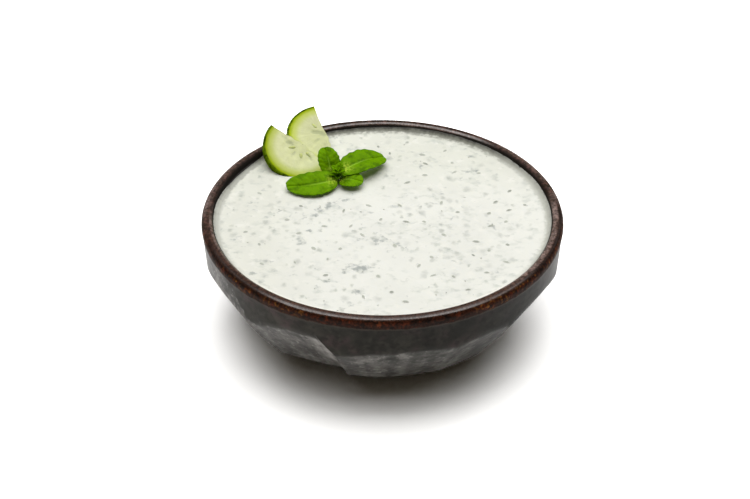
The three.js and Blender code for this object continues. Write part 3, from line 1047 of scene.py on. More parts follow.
# Patches in the cuts' thin glaze: size, span of the noise, share, tone and detail
CUT_PATCHES = [
    (11, (0.42, 0.62), 0.7, 0.6, 2),
    (5.5, (0.48, 0.66), 0.75, 2, 3),
    (7, (0.54, 0.70), 0.7, 0.5, 3),
    (2.2, (0.58, 0.72), 0.7, 3, 3),
]


def band_glaze(g, settings, at, cloud, mottle):
    """Charcoal, with a few purple-brown, darker and paler patches."""
    band = g.blend(g.step(cloud, 0.35, 0.7), settings.band, scaled(settings.band, 1.6))
    band = g.patches(band, PURPLE_BROWN, at, 12, (0.50, 0.72), 0.7)
    band = g.blend(g.step(mottle, 0.46, 0.64) * 0.6, band, scaled(settings.band, 0.62))
    return g.patches(band, scaled(settings.band, 2.2), at, 4.5, (0.52, 0.70), 0.5, 3)


def cut_glaze(g, settings, at, x, mottle, painted_sheen):
    """Thinner, greyer glaze, streaked down the wall, with painted light paler towards the foot and a
    painted highlight on the ridge.
    """
    # Painted light: the cuts are painted paler towards the foot, standing in for light bounced up from
    # the floor
    low = 1 - g.step(x.of("Z"), 8, 40)
    pale = g.blend(low, settings.cut, scaled(settings.cut, 1.4))
    for size, span, share, tone, detail in CUT_PATCHES:
        pale = g.patches(pale, scaled(settings.cut, tone), at, size, span, share, detail)
    # A painted highlight on the ridge beside the deepest step
    pale = g.blend(painted_sheen, pale, scaled(settings.cut, 2.6))
    # The cuts are painted darker on the left and lighter on the right, which tempers the painted side
    # light on them
    pale = g.tinted(pale, g.blend(g.step(x, -45, 25), (0.80, 0.80, 0.815), (1.16, 1.16, 1.16)))
    heading = g.vector("NORMALIZE", g.times(at, 1, 1, 0))
    streak = g.noise(heading, 0.085, detail=3) + (mottle - 0.5) * 0.6
    streaked = g.blend(g.step(streak, 0.38, 0.62), (0.68, 0.68, 0.69), (1.34, 1.34, 1.36))
    return g.tinted(pale, streaked)


def rim_glaze(g, settings, at, x, cloud, mottle, painted_sheen):
    """Red-brown at the front with rust and amber spots, and greyer round the back, with a painted sheen,
    painted highlights at the sides and painted shade.
    """
    y, height = x.of("Y"), x.of("Z")
    blotch = g.noise(at, 2.4, detail=3, roughness=0.6)
    rusty = g.step(blotch, 0.40, 0.64) * g.step(g.noise(at, 9), 0.40, 0.60)
    red = g.blend(rusty, settings.rim, RUST)
    red = g.patches(red, RED_BLACK, at, 3.4, (0.50, 0.62), 0.85, 3)
    beside = g.step(abs(x), 12, 42)
    spots = g.step(g.noise(at, 2.1, detail=1), 0.50, 0.72)
    crowded = g.step(g.noise(at, 15, detail=1) + beside * 0.05, 0.44, 0.58)
    red = g.blend(spots * crowded * 0.55, red, g.blend(beside, FRONT_AMBER, settings.amber))
    red = g.blend(g.step(height, 59.0, 59.5) * 0.8, red, LIP_BROWN)
    grey = g.blend(g.step(blotch, 0.42, 0.64), BACK_BROWN, BACK_GREY)
    grey = g.blend(g.step(mottle, 0.48, 0.62) * 0.7, grey, BACK_DARK)
    # A painted sheen on the lip round the back and the far sides
    grey = g.blend(painted_sheen * g.step(cloud + (mottle + blotch) * 0.4, 0.70, 0.98), grey, PAINTED_SHEEN_GREY)
    rim = g.blend(g.step(y + (cloud - 0.5) * 60, -46, 4), red, grey)
    rim = g.blend((1 - g.step(height, 56.4, 57.9)) * 0.5, rim, UNDER_LIP)
    # Painted highlights on the lip at the sides, mottled
    sides = g.step(x, 40, 60) + (1 - g.step(x, -60, -40)) * 0.35
    side_highlight = painted_sheen * sides * (1 - g.step(y, 2, 20))
    side_highlight = side_highlight * (0.2 + g.step(mottle + (blotch - 0.5) * 0.8, 0.38, 0.64) * 0.75)
    rim = g.blend(side_highlight, rim, PAINTED_HIGHLIGHT_PINK)
    # Painted shade on the lip
    rim = g.blend(g.attribute("painted_lip_shade") * 0.8, rim, PAINTED_SHADE_BROWN)
    speckle = g.step(g.noise(at, 1.1, detail=3), 0.36, 0.64)
    return g.tinted(rim, g.blend(speckle, (0.62, 0.60, 0.60), (1.45, 1.38, 1.34)))


def glaze_material(settings):
    """Charcoal stoneware glaze that breaks red-brown over the rim, with bare clay on the foot."""
    material, g = new_graph("stoneware_glaze")
    at = g.place()
    x = g.split(at, "X")
    height = x.of("Z")
    cloud = g.noise(at, 11)
    mottle = g.noise(at, 3.2, detail=3, roughness=0.55)
    grain = g.noise(at, 0.8)
    painted_sheen = g.attribute("painted_sheen")

    # The thin glaze of the cuts ends raggedly at the band. On the left a painted reflection carries its
    # pale colour up past its cut, more raggedly, in a stretch that climbs towards the back.
    left = 1 - g.step(x, -62, -20)
    cut = g.attribute("cut") * (1 - g.step(height, 40.5, 45) * (1 - left) * 0.6)
    ragged = (mottle - 0.5) * 0.5 + (g.noise(at, 8, detail=3) - 0.5) * (0.5 + left * 1.3)
    left_reflection = g.step(0 - x * 1.3 - height + (g.noise(at, 6, detail=3) - 0.5) * 12, 36, 40)
    band = band_glaze(g, settings, at, cloud, mottle)
    pale = cut_glaze(g, settings, at, x, mottle, painted_sheen)
    body = g.blend(g.step(cut + ragged + left_reflection * left, 0.1, 0.95), band, pale)

    # Painted light: the wall is painted lighter on the left, where reflected light brightens it, and
    # darker on the right
    body = g.tinted(body, g.blend(g.step(x, -75, 50), (1.36, 1.33, 1.30), (0.64, 0.64, 0.63)))

    uneven = height + (mottle - 0.5) * 1.5 + (grain - 0.5) * 0.5
    above = g.step(uneven, 54.6, 55.6)
    bead = g.step(uneven, 53.9, 54.5) * (1 - g.step(uneven, 54.9, 55.4))
    body = g.blend(bead * 0.3, body, BEAD_BROWN)
    colour = g.blend(above, body, rim_glaze(g, settings, at, x, cloud, mottle, painted_sheen))
    colour = g.blend(g.attribute("inner"), colour, INSIDE_BLACK)
    foot = 1 - g.step(height + (grain - 0.5) * 0.6, 1.7, 2.3)
    colour = g.blend(foot, colour, settings.clay)

    shine = g.attribute("gloss") * (1.55 - mottle * 0.8 - g.step(grain, 0.40, 0.62) * 0.4)
    g.surface(
        Base_Color=colour,
        Roughness=0.4 + foot * 0.4 + above * 0.25,
        Normal=g.bump(g.noise(at, 5) * (1 + cut * 2), 0.3, 0.3, g.bump(grain, 0.15, 0.05)),
        Specular_IOR_Level=0.04,
        Coat_Weight=shine,
        Coat_Roughness=0.14,
        Coat_IOR=1.7,
    )
    return material


class TZATZIKI_OT_bowl(bpy.types.Operator):
    """Make the carved stoneware bowl"""

    bl_idname = "tzatziki.bowl"
    bl_label = "Bowl"

    def execute(self, context):
        settings = context.scene.tzatziki_bowl
        bowl = finish_piece(bowl_mesh(settings, glaze_material(settings)), "glaze", "bowl")
        power = context.scene.tzatziki_stage.fill_power
        light_only(area_light("bowl_fill", *BOWL_FILL, power), bowl)
        return {"FINISHED"}


# ---- Dip


def dip_height(x, y, level):
    """Height of the dip's surface: low spoon marks, and a rise where it clings to the wall."""
    radius = np.hypot(x, y)
    bend = np.hypot(x - DIP_CENTRE[0], y - DIP_CENTRE[1])
    marks = np.sin(bend / 5.2) * 0.6 + np.sin(x / 9 + 1.3) * np.cos(y / 7.5) * 0.7
    climb = smoothstep(radius, 70, 78) * DIP_MENISCUS
    return level + DIP_SWIRL * marks * (1 - smoothstep(radius, 60, 74)) + climb


def disc_grid(count):
    """A square grid of points pressed into a disc of radius 1, with even spacing."""
    side = np.linspace(-1, 1, count + 1)
    a, b = (part.ravel() for part in np.meshgrid(side, side, indexing="ij"))
    wide = np.abs(a) > np.abs(b)
    with np.errstate(divide="ignore", invalid="ignore"):
        angle = np.where(wide, math.pi / 4 * (b / a), math.pi / 2 - math.pi / 4 * (a / b))
    angle = np.nan_to_num(angle)
    radius = np.where(wide, a, b)
    return radius * np.cos(angle), radius * np.sin(angle)


def grid_rim(count):
    """Indices of the grid's outermost points, anticlockwise."""
    side = count + 1
    bottom = [i * side for i in range(count)]
    right = [count * side + k for k in range(count)]
    top = [i * side + count for i in range(count, 0, -1)]
    left = list(range(count, 0, -1))
    return bottom + right + top + left


def wall_radius(z, bowl):
    """Radius of the bowl's inside, with the lip's inner rounding at its top."""
    height = bowl.height / MM
    top = (bowl.rim_radius - bowl.lip_round) / MM - LIP_TOP
    share = np.clip((height - np.asarray(z, float)) / LIP_INNER[1], 0, 1)
    rounding = top - LIP_INNER[0] * np.sqrt(1 - (1 - share) ** 2)
    return np.minimum(rounding, np.interp(z, *WALL_LINE))


def bearing_of(x, y):
    """Bearing in degrees from the front."""
    return np.degrees(np.arctan2(x, -y))


def film_top(around, level):
    """Height at which the film of dip on the wall ends, at each direction round the bowl."""
    ragged = layered(np.column_stack([around, np.zeros(len(around))]), FILM_RAGS)
    top = level + DIP_MENISCUS + FILM_HEIGHT * (0.85 + 0.13 * ragged)
    top = top + FILM_BESIDE * around[:, 0] ** 2
    for at, reach, lower in FILM_LOW:
        top = top - lower * hump(bearing_of(*around.T), at, reach)
    return top


def edge_shade(x, y, edge):
    """How strongly painted shade darkens the surface beside the wall, from 0 to 1."""
    reach, bearing = np.hypot(x, y), bearing_of(x, y)
    more, begins, whole = FILM_WIDER
    width = FILM_REACH * (1 + more * smoothstep(y, begins, whole))
    strong = 1 + sum(share * hump(bearing, at, spread) for at, spread, share in FILM_STRONG)
    shade = FILM_EDGE * strong * smoothstep(reach, edge - width, edge)
    # A fine painted shadow line where the film meets the dip, at the left and right
    line = hump(reach, edge - FILM_LINE_IN, FILM_LINE_WIDTH)
    for at, spread, strength in FILM_LINES:
        shade = np.maximum(shade, strength * line * hump(bearing, at, spread))
    return shade


def fleck_room(flat, stain, edge):
    """How crowded the fine flecks are at each point of the surface."""
    plain, smudged = FINE_CROWD
    crowd = np.clip(plain + layered(flat, FINE_LAYERS) + smudged * stain, *FINE_RANGE)
    x, y = flat[:, 0], flat[:, 1]
    beside = np.hypot(x - FINE_CLEAR_AT[0], y - FINE_CLEAR_AT[1]) >= FINE_CLEAR_RADIUS
    return crowd * (np.hypot(x, y) < edge - FINE_EDGE_GAP) * beside


def dip_mesh(settings, bowl, material):
    """The dip as a closed body: its surface, a thin film up the wall, and its hidden sides."""
    level = settings.level / MM
    edge = float(wall_radius(level + DIP_MENISCUS, bowl)) - DIP_EDGE_GAP
    x, y = disc_grid(DIP_GRID)
    x, y = x * edge, y * edge
    flat = np.stack([x, y, np.zeros(len(x))], -1)
    calm = 1 - 0.6 * smoothstep(np.hypot(x, y), 66, edge)
    z = dip_height(x, y, level) + layered(flat, LUMP_LAYERS) * calm * settings.lumps / MM * 2
    surface = np.stack([x, y, z], -1)

    rim = grid_rim(DIP_GRID)
    count = len(rim)
    around = np.stack([x[rim], y[rim]], -1) / np.hypot(x[rim], y[rim])[:, None]
    base = z[rim]
    top = np.maximum(film_top(around, level), base + 0.2)
    rings, films = [], []

    def ring(height, inset, film_and_shade=0.0):
        height = np.zeros(count) + height
        radius = wall_radius(height, bowl) - inset
        rings.append(np.column_stack([around * radius[:, None], height]))
        films.append(np.full(count, float(film_and_shade)))

    for share, inset, film_and_shade in FILM_RINGS:
        ring(mix(base, top, share), inset, film_and_shade)
    # Past its end the film turns into the wall. From there on the dip's side is hidden.
    ring(top + 0.1, -0.12, 1)
    ring(level - 0.6, -0.1)
    for height in (level - 1.2, *DIP_SIDE_HEIGHTS):
        ring(height, DIP_WALL_GAP)

    start = len(surface)
    points = np.concatenate([surface, *rings, [[0, 0, FLOOR_TOP + 0.6]]])
    faces = sheet_faces(DIP_GRID + 1, DIP_GRID + 1)
    loops = [rim, *(range(start + i * count, start + (i + 1) * count) for i in range(len(rings)))]
    for inner, outer in zip(loops, loops[1:]):
        for k in range(count):
            after = (k + 1) % count
            faces.append((inner[k], outer[k], outer[after], inner[after]))
    faces += [(loops[-1][(k + 1) % count], loops[-1][k], len(points) - 1) for k in range(count)]

    stain = smudge_field(x, y)
    rest = np.zeros(len(points) - start)
    values = {
        "film_and_shade": np.concatenate([edge_shade(x, y, edge), *films, [0]]),
        "stain": np.concatenate([stain, rest]),
        "room": np.concatenate([fleck_room(flat, stain, edge), rest]),
    }
    return make_object("tzatziki_dip", points, faces, material, values)


def smudge_field(x, y):
    """How much the surface is shaded by what gathers under it, from 0 to 1."""
    field = np.zeros(len(x))
    for at_x, at_y, long, short, turn, strength in SMUDGES:
        field += strength * oval(x - at_x, y - at_y, math.radians(turn), long, short)
    return np.minimum(field, 1)


# Tones of the dip and its flecks, and of the painted shade beside the wall, that the settings don't have
BACK_TINT = (0.92, 0.925, 0.89)
LEFT_TINT = (0.945, 0.945, 0.92)
BRIGHT_DIP = (0.87, 0.87, 0.81)
DEEP_SHADE = (0.33, 0.36, 0.35)
PALE_HERB = (0.50, 0.53, 0.46)
MIDDLE_HERB = (0.40, 0.43, 0.365)
# The film, with painted shade on it and on the dip beside it, at the front, sides and back, thin and
# thick, and at its end
FRONT_FILM_SHADE = ((0.90, 0.885, 0.82), (0.60, 0.58, 0.50))
SIDE_FILM_SHADE = ((0.57, 0.58, 0.525), (0.45, 0.455, 0.41))
BACK_FILM_SHADE = ((0.27, 0.275, 0.235), (0.075, 0.075, 0.062))
FILM_END = (0.03, 0.028, 0.022)
# Specks: spacing, reach, rareness, softness, strength and colour
SPECKS = [
    (7.2, 0.36, 0.92, 0.02, 0.55, (0.30, 0.33, 0.305)),
    (5.2, 0.37, 0.92, 0.02, 0.6, (0.25, 0.28, 0.245)),
    (3.8, 0.38, 1.02, 0.05, 0.55, (0.30, 0.34, 0.28)),
]


def dip_material(settings):
    """Thick yoghurt with herbs and grated cucumber that shade it from just under the surface."""
    material, g = new_graph("yoghurt_dip")
    at = g.place()
    x = g.split(at, "X")
    y = x.of("Y")
    flat = g.times(at, 1, 1, 0)
    bent = g.vector("ADD", flat, g.drift(flat, 0.3, 2.4))
    frayed = g.vector("ADD", bent, g.drift(flat, 0.8, 1.7))
    stain = g.attribute("stain")
    crowd = g.noise(flat, 22) + stain * 0.35

    # Shreds and herbs just under the surface, as streaks, smudges and what lies in the stains
    streak = g.noise(frayed, 3.8, stretch=(1.3, 1, 1))
    streaks = g.step(streak, 0.51, 0.74) * g.step(crowd, 0.38, 0.62)
    smudge = g.noise(frayed, 6.5, detail=3, roughness=0.55, stretch=(1.3, 1, 1))
    smudges = g.step(smudge, 0.50, 0.76) * g.step(crowd, 0.40, 0.66)
    clump = g.noise(frayed, 2.8)
    deep = g.step(stain * 1.3 + (smudge - 0.5) * 1.3 + (clump - 0.5) * 2.6, 0.32, 1.22)

    dimmer = scaled(settings.colour, 0.965)
    colour = g.patches(settings.colour, dimmer, flat, 30, (0.35, 0.65), 1, 1)
    colour = g.blend(g.step(y, 5, 60), colour, g.tinted(colour, BACK_TINT))
    colour = g.blend(1 - g.step(x, -62, -22), colour, g.tinted(colour, LEFT_TINT))
    colour = g.patches(colour, BRIGHT_DIP, frayed, 5.5, (0.54, 0.72), 0.6)
    colour = g.blend(streaks * 0.5, colour, settings.shade)
    colour = g.blend(smudges * 0.42, colour, settings.shade)
    colour = g.blend(deep * 0.85, colour, DEEP_SHADE)
    for size, reach, rare, soft, strength, tone in SPECKS:
        cell = g.cells(frayed, size, stretch=(1, 1.3, 1))
        chance = g.node("ShaderNodeSeparateColor", {}, {0: cell.of("Color")}, "Red")
        chosen = g.step(chance + crowd * 0.9, rare, rare + 0.2) * (0.35 + chance.of("Green") * 0.65)
        speck = (1 - g.step(cell, reach * soft, reach)) * chosen
        colour = g.blend(speck * strength, colour, tone)

    # The film is pale where it is thin. It and the dip beside it carry painted shade, darkest at the
    # back, and the glaze shows through at the film's end
    film_and_shade = g.attribute("film_and_shade")
    smear = g.noise(at, 2.2, detail=3, stretch=(1, 1, 2.5))
    wash = film_and_shade + (smear - 0.5) * 0.7 * g.step(film_and_shade, 0.02, 0.3)
    back = g.step(y, 30, 72) + (1 - g.step(x, -74, -46)) * g.step(y, 6, 30) * 0.5
    front = 1 - g.step(y, -62, -30)
    tones = zip(FRONT_FILM_SHADE, SIDE_FILM_SHADE, BACK_FILM_SHADE)
    thin, thick = (g.blend(front, g.blend(back, side, far), near) for near, side, far in tones)
    colour = g.blend(g.step(wash, 0.05, 0.45), colour, thin)
    colour = g.blend(g.step(wash, 0.5, 0.95), colour, thick)
    colour = g.blend(g.step(wash, 0.98, 1.15), colour, FILM_END)

    g.surface(
        Base_Color=colour,
        Roughness=0.42 + (streak - 0.5) * 0.2,
        Normal=g.bump(g.noise(flat, 1.1, detail=3), 0.2, 0.1),
        Specular_IOR_Level=0.25,
        Subsurface_Weight=0.15,
        Subsurface_Radius=(1.0, 0.95, 0.8),
        Subsurface_Scale=MM,
    )
    return material


def fleck_material(settings):
    """Herb and cucumber flecks. They are darkest on top, and coated with dip at their sides."""
    material, g = new_graph("herb_flecks")
    green = g.blend(g.step(g.attribute("tone"), 0.0, 0.75), settings.herb, PALE_HERB)
    green = g.patches(green, MIDDLE_HERB, g.place(), 0.8, (0.4, 0.7), 0.5)
    colour = g.blend(g.step(g.attribute("rise"), 0.25, 0.95), settings.colour, green)
    g.surface(Base_Color=colour, Roughness=0.45, Specular_IOR_Level=0.2)
    return material


def fleck_tree(name, scattered):
    """Makes flattened flecks, either at random over a surface or on given points."""
    inputs = {
        "Subdivisions": "NodeSocketInt",
        "Sink": "NodeSocketFloat",
        "Material": "NodeSocketMaterial",
    }
    if scattered:
        inputs |= {"Density": "NodeSocketFloat", "Seed": "NodeSocketInt"}
    tree, g, source = geometry_tree(name, inputs)
    if scattered:
        seed = source.of("Seed")
        crowded = source.of("Density") * g.named("room", "FLOAT")
        scatter = {"Mesh": source, "Density": crowded, "Seed": seed}
        points = g.node("GeometryNodeDistributePointsOnFaces", {}, scatter, "Points")
        small, large = (tuple(part * MM for part in size) for size in FINE_SIZES)
        scale = g.random("FLOAT_VECTOR", small, large, seed)
        turn = g.random("FLOAT_VECTOR", *FINE_TURNS, 11)
    else:
        points, scale, turn = source, g.named("size"), g.named("turn")
    ball = {"Radius": 1.0, "Subdivisions": source.of("Subdivisions")}
    fleck = g.node("GeometryNodeMeshIcoSphere", {}, ball)
    height = g.split(g.node("GeometryNodeInputPosition"), "Z")
    fleck = g.stored(fleck, "POINT", "rise", height)
    instances = {"Points": points, "Instance": fleck, "Rotation": turn, "Scale": scale}
    flecks = g.node("GeometryNodeInstanceOnPoints", {}, instances)
    flecks = g.stored(flecks, "INSTANCE", "tone", g.random("FLOAT", 0.0, 1.0, 5))
    down = {"Instances": flecks, "Translation": g.join(Z=source.of("Sink"))}
    close_tree(g, g.node("GeometryNodeTranslateInstances", {}, down), source.of("Material"))
    return tree


def large_flecks(level):
    """Places, turns and half sizes of the flecks that the dip's solid has."""
    random = random_from(FLECK_SEED)
    places, turns, sizes = [], [], []
    while len(places) < FLECK_COUNT:
        radius = FLECK_FIELD * math.sqrt(next(random))
        angle = next(random) * 2 * math.pi
        x, y = radius * math.cos(angle), radius * math.sin(angle)
        length = mix(*FLECK_LENGTH, next(random))
        width = mix(*FLECK_WIDTH, next(random))
        heading = (next(random) - 0.5) * math.pi
        clear = all(math.hypot(px - x, py - y) > FLECK_SPACING for px, py, _ in places)
        if not clear or math.hypot(x - GARNISH_AT[0], y - GARNISH_AT[1]) < GARNISH_RADIUS:
            continue
        z = float(dip_height(x, y, level)) + FLECK_SHOWN - FLECK_HEIGHT / 2
        halves = (length * FLECK_HALVES[0], width * FLECK_HALVES[1], FLECK_HEIGHT / 2)
        places.append((x, y, z))
        turns.append((0, 0, heading))
        sizes.append([half * MM for half in halves])
    return places, turns, sizes


class TZATZIKI_OT_dip(bpy.types.Operator):
    """Make the dip with its herb and cucumber flecks"""

    bl_idname = "tzatziki.dip"
    bl_label = "Dip"

    def execute(self, context):
        settings = context.scene.tzatziki_dip
        dip = dip_mesh(settings, context.scene.tzatziki_bowl, dip_material(settings))
        flecks = fleck_material(settings)
        growth = {"Subdivisions": 1, "Sink": -FINE_SINK * MM, "Material": flecks}
        growth |= {"Density": settings.fine_flecks, "Seed": 3}
        fine = grown("fine_flecks", dip, fleck_tree("Fine Flecks", True), growth)
        places, turns, sizes = large_flecks(settings.level / MM)
        spots = point_object("fleck_places", places, {"turn": turns, "size": sizes})
        growth = {"Subdivisions": 3, "Sink": -FLECK_SINK * MM, "Material": flecks}
        large = grown("large_flecks", spots, fleck_tree("Large Flecks", False), growth)
        bpy.data.objects.remove(spots)
        finish_piece(dip, "dip", "tzatziki")
        finish_piece(large, "dip", "tzatziki")
        finish_piece(fine, "dip", "tzatziki")
        return {"FINISHED"}


# ---- Cucumber


def slice_matrix(at, bearing, rise, turn):
    """From a slice's own frame, cut edge along X and face up, to its place in the dip."""
    bearing, rise, turn = math.radians(bearing), math.radians(rise), math.radians(turn)
    flat = math.cos(rise)
    normal = Vector((math.sin(bearing) * flat, -math.cos(bearing) * flat, math.sin(rise)))
    level = Vector((0, 0, 1)).cross(normal).normalized()
    edge = level * math.cos(turn) + normal.cross(level) * math.sin(turn)
    across = normal.cross(edge)
    rows = [(edge[i], across[i], normal[i], at[i]) for i in range(3)]
    return Matrix([*rows, (0, 0, 0, 1)])


def placed(points, matrix):
    """Points moved by a matrix."""
    table = np.array(matrix)
    return np.asarray(points) @ table[:3, :3].T + table[:3, 3]


def hollow_field(name, x, y):
    """How far a slice's face sinks round its seeds and where seeds are lost, from 0 to 1."""
    field = np.zeros(len(x))
    for at_x, at_y, depth in [*HOLLOWS[name], *((*seed, SEED_HOLLOW) for seed in SEEDS[name])]:
        field += depth * oval(x - at_x, y - at_y, math.atan2(at_y, at_x), *HOLLOW_SIZE)
    return np.minimum(field, 1)


def slice_relief(name, x, y, radius, shift):
    """Height of a slice's face: hollows round the seeds, soft pulp and fine fibres."""
    flat = np.stack([x, y, np.full(len(x), shift)], -1)
    share = np.hypot(x, y) / radius
    wet = 1 - smoothstep(share, 0.4, 0.7)
    pulp = noise_at(flat, 0.34, shift) * 0.22 - 0.08
    fibre = noise_at(flat, 1.1, shift) * 0.04
    return pulp * wet + fibre - 0.3 * hollow_field(name, x, y) + 0.1 * smoothstep(share, 0.9, 0.99)


def slice_profile(radius):
    """The rings of a slice from its face's middle over the skin to its back's middle: the face's
    radii, and the radius and height of each point down the skin."""
    bevel = SLICE_BEVEL
    flat = np.linspace(0, 1, SLICE_RINGS + 1)[1:-1] * (radius - bevel - 0.15)
    skin = [
        (radius - bevel * 0.3, -bevel * 0.3),
        (radius, -bevel),
        (radius + SKIN_BULGE, -SLICE_THICKNESS * 0.35),
        (radius + SKIN_BULGE, -SLICE_THICKNESS * 0.65),
        (radius, bevel - SLICE_THICKNESS),
        (radius - bevel * 0.3, bevel * 0.3 - SLICE_THICKNESS),
    ]
    return [*flat, radius - bevel], skin


def slice_body(radius):
    """Points and faces of half a slice: a half turn of its profile, and the cut edge between its ends."""
    face, skin = slice_profile(radius)
    profile = [(r, 0.0) for r in face] + skin + [(r, -SLICE_THICKNESS) for r in face[::-1]]
    angles = np.linspace(0, math.pi, SLICE_TURNS + 1)
    rings = np.array([[(r * math.cos(a), r * math.sin(a), z) for a in angles] for r, z in profile])
    count, across = rings.shape[:2]
    points = [*rings.reshape(-1, 3), np.zeros(3), np.array([0, 0, -SLICE_THICKNESS])]
    top, bottom = count * across, count * across + 1
    last = (count - 1) * across
    faces = sheet_faces(count, across)
    faces += [(top, j, j + 1) for j in range(SLICE_TURNS)]
    faces += [(bottom, last + j + 1, last + j) for j in range(SLICE_TURNS)]

    # The cut edge: one column of points for each ring of the face, with the skin at both ends
    rims = len(face) - 1
    levels = len(skin) + 1

    def column(high, low):
        start = len(points)
        points.extend(mix(points[high], points[low], i / levels) for i in range(1, levels))
        return [high, *range(start, start + levels - 1), low]

    columns = [[(rims + i) * across for i in range(levels + 1)]]
    columns += [column(k * across, (count - 1 - k) * across) for k in range(rims - 1, -1, -1)]
    columns.append(column(top, bottom))
    ends = ((k * across + SLICE_TURNS, (count - 1 - k) * across + SLICE_TURNS) for k in range(rims))
    columns += [column(high, low) for high, low in ends]
    columns.append([(rims + i) * across + SLICE_TURNS for i in range(levels + 1)])
    for one, two in zip(columns, columns[1:]):
        for i in range(levels):
            faces.append((one[i + 1], two[i + 1], two[i], one[i]))
    return np.array(points, float), faces


def slice_mesh(solid, radius, matrix, shift, material):
    """Half a slice of cucumber, with a hollowed face and a ragged cut edge."""
    points, faces = slice_body(radius)
    x, y, z = points.T
    share = np.hypot(x, y) / radius
    is_face = np.clip(1 + z / 0.3, 0, 1) * (share < 1 - SLICE_BEVEL / radius + 0.001)
    z = z + is_face * slice_relief(solid, x, y, radius, shift)
    ragged = noise_at(np.stack([x, np.zeros(len(x)), z], -1), 0.35, shift + 3)
    bulge = (1.3 + 0.9 * ragged) * hump(x, PULP_AT[solid], radius * 0.45)
    y = y - bulge * np.exp(-y / 2.2) * (share < 0.97)
    made = placed(np.stack([x, y, z], -1), matrix)
    hollow = hollow_field(solid, x, y) * (z > -SLICE_THICKNESS / 2)
    values = {"ring": share, "slice_x": x, "slice_y": y, "depth": -z, "hollow": hollow}
    values["shaded"] = np.full(len(x), SHADED[solid])
    return make_object(solid + "_cut", made, faces, material, values)


# Tones of the cucumber, with the back slice's painted shade, that the settings don't have
BACK_SLICE_SHADE = (0.8, 0.8, 0.8)
PALE_FIBRE = (0.90, 0.93, 0.62)
WET_PULP = (0.66, 0.70, 0.36)
HOLLOW_SHADE = (0.40, 0.44, 0.25)
OUTER_FLESH = (0.53, 0.62, 0.09)
PALE_SKIN = (0.115, 0.19, 0.003)
SEED_SHADE = (0.48, 0.55, 0.24)


def cucumber_material(settings):
    """Wet cucumber: pale flesh, a green ring under the dark skin, and clear pulp round the seeds."""
    material, g = new_graph("cucumber")
    ring = g.attribute("ring")
    x, y = g.attribute("slice_x"), g.attribute("slice_y")
    own = g.join(X=x, Y=y, Z=g.attribute("depth"))
    rays = g.join(X=g.maths("ARCTAN2", y, x) * 9, Y=ring * 2.2)
    fibres = g.noise(rays, 1, detail=3)
    blotch = g.noise(own, 3.2, detail=3)
    ragged = ring + (g.noise(own, 2.0) - 0.5) * 0.035

    colour = g.blend(g.step(blotch, 0.35, 0.7), settings.flesh, scaled(settings.flesh, 0.93))
    # Painted shade over the back slice's flesh
    colour = g.blend(g.attribute("shaded"), colour, g.tinted(colour, BACK_SLICE_SHADE))
    colour = g.blend(g.step(fibres, 0.45, 0.75) * 0.3, colour, PALE_FIBRE)
    pulp = 1 - g.step(ring + (blotch - 0.5) * 0.4, 0.14, 0.46)
    colour = g.blend(pulp * 0.3, colour, WET_PULP)
    hollow = g.attribute("hollow") + (g.noise(own, 1.6) - 0.5) * 0.6
    colour = g.blend(g.step(hollow, 0.05, 0.8) * 0.7, colour, HOLLOW_SHADE)
    colour = g.blend(g.step(ragged, 0.60, 0.84) * 0.85, colour, OUTER_FLESH)
    colour = g.blend(g.step(ragged, 0.81, 0.92), colour, settings.under_skin)
    skin = g.step(ring + (blotch - 0.5) * 0.03, 0.912, 0.955)
    rind = g.patches(settings.skin, PALE_SKIN, g.place(), 2.2, (0.36, 0.58), 1, 3)
    colour = g.blend(skin, colour, rind)
    g.surface(
        Base_Color=colour,
        Roughness=0.3 + skin * 0.1 + (blotch - 0.5) * 0.2,
        Normal=g.bump(g.noise(own, 0.9, detail=3), 0.25, 0.12),
        Specular_IOR_Level=0.0,
        Coat_Weight=(1 - skin) * g.step(blotch, 0.35, 0.65) * 0.12,
        Coat_Roughness=0.2,
        Subsurface_Weight=0.2,
        Subsurface_Radius=(1.0, 1.0, 0.6),
        Subsurface_Scale=1.5 * MM,
    )
    return material


def seed_tree():
    """Puts a soft teardrop seed on each given point."""
    inputs = {"Length": "NodeSocketFloat", "Material": "NodeSocketMaterial"}
    tree, g, source = geometry_tree("Cucumber Seeds", inputs)
    ball = g.node("GeometryNodeMeshUVSphere", {}, {"Segments": 12, "Rings": 8, "Radius": 0.5})
    x = g.split(g.node("GeometryNodeInputPosition"), "X")
    taper = 0.42 - x * 0.34
    shape = g.join(X=x, Y=x.of("Y") * taper, Z=x.of("Z") * taper * 0.62)
    drop = g.node("GeometryNodeSetPosition", {}, {"Geometry": ball, "Position": shape})
    size, turn = source.of("Length"), g.named("turn")
    instances = {"Points": source, "Instance": drop, "Rotation": turn, "Scale": size}
    seeds = g.node("GeometryNodeInstanceOnPoints", {}, instances)
    close_tree(g, seeds, source.of("Material"))
    return tree


def seed_material(settings):
    """Pale, soft and wet seeds."""
    material, g = new_graph("cucumber_seeds")
    colour = g.patches(settings.seed, SEED_SHADE, g.place(), 1.2, (0.4, 0.7))
    g.surface(Base_Color=colour, Roughness=0.3, Specular_IOR_Level=0.3)
    return material


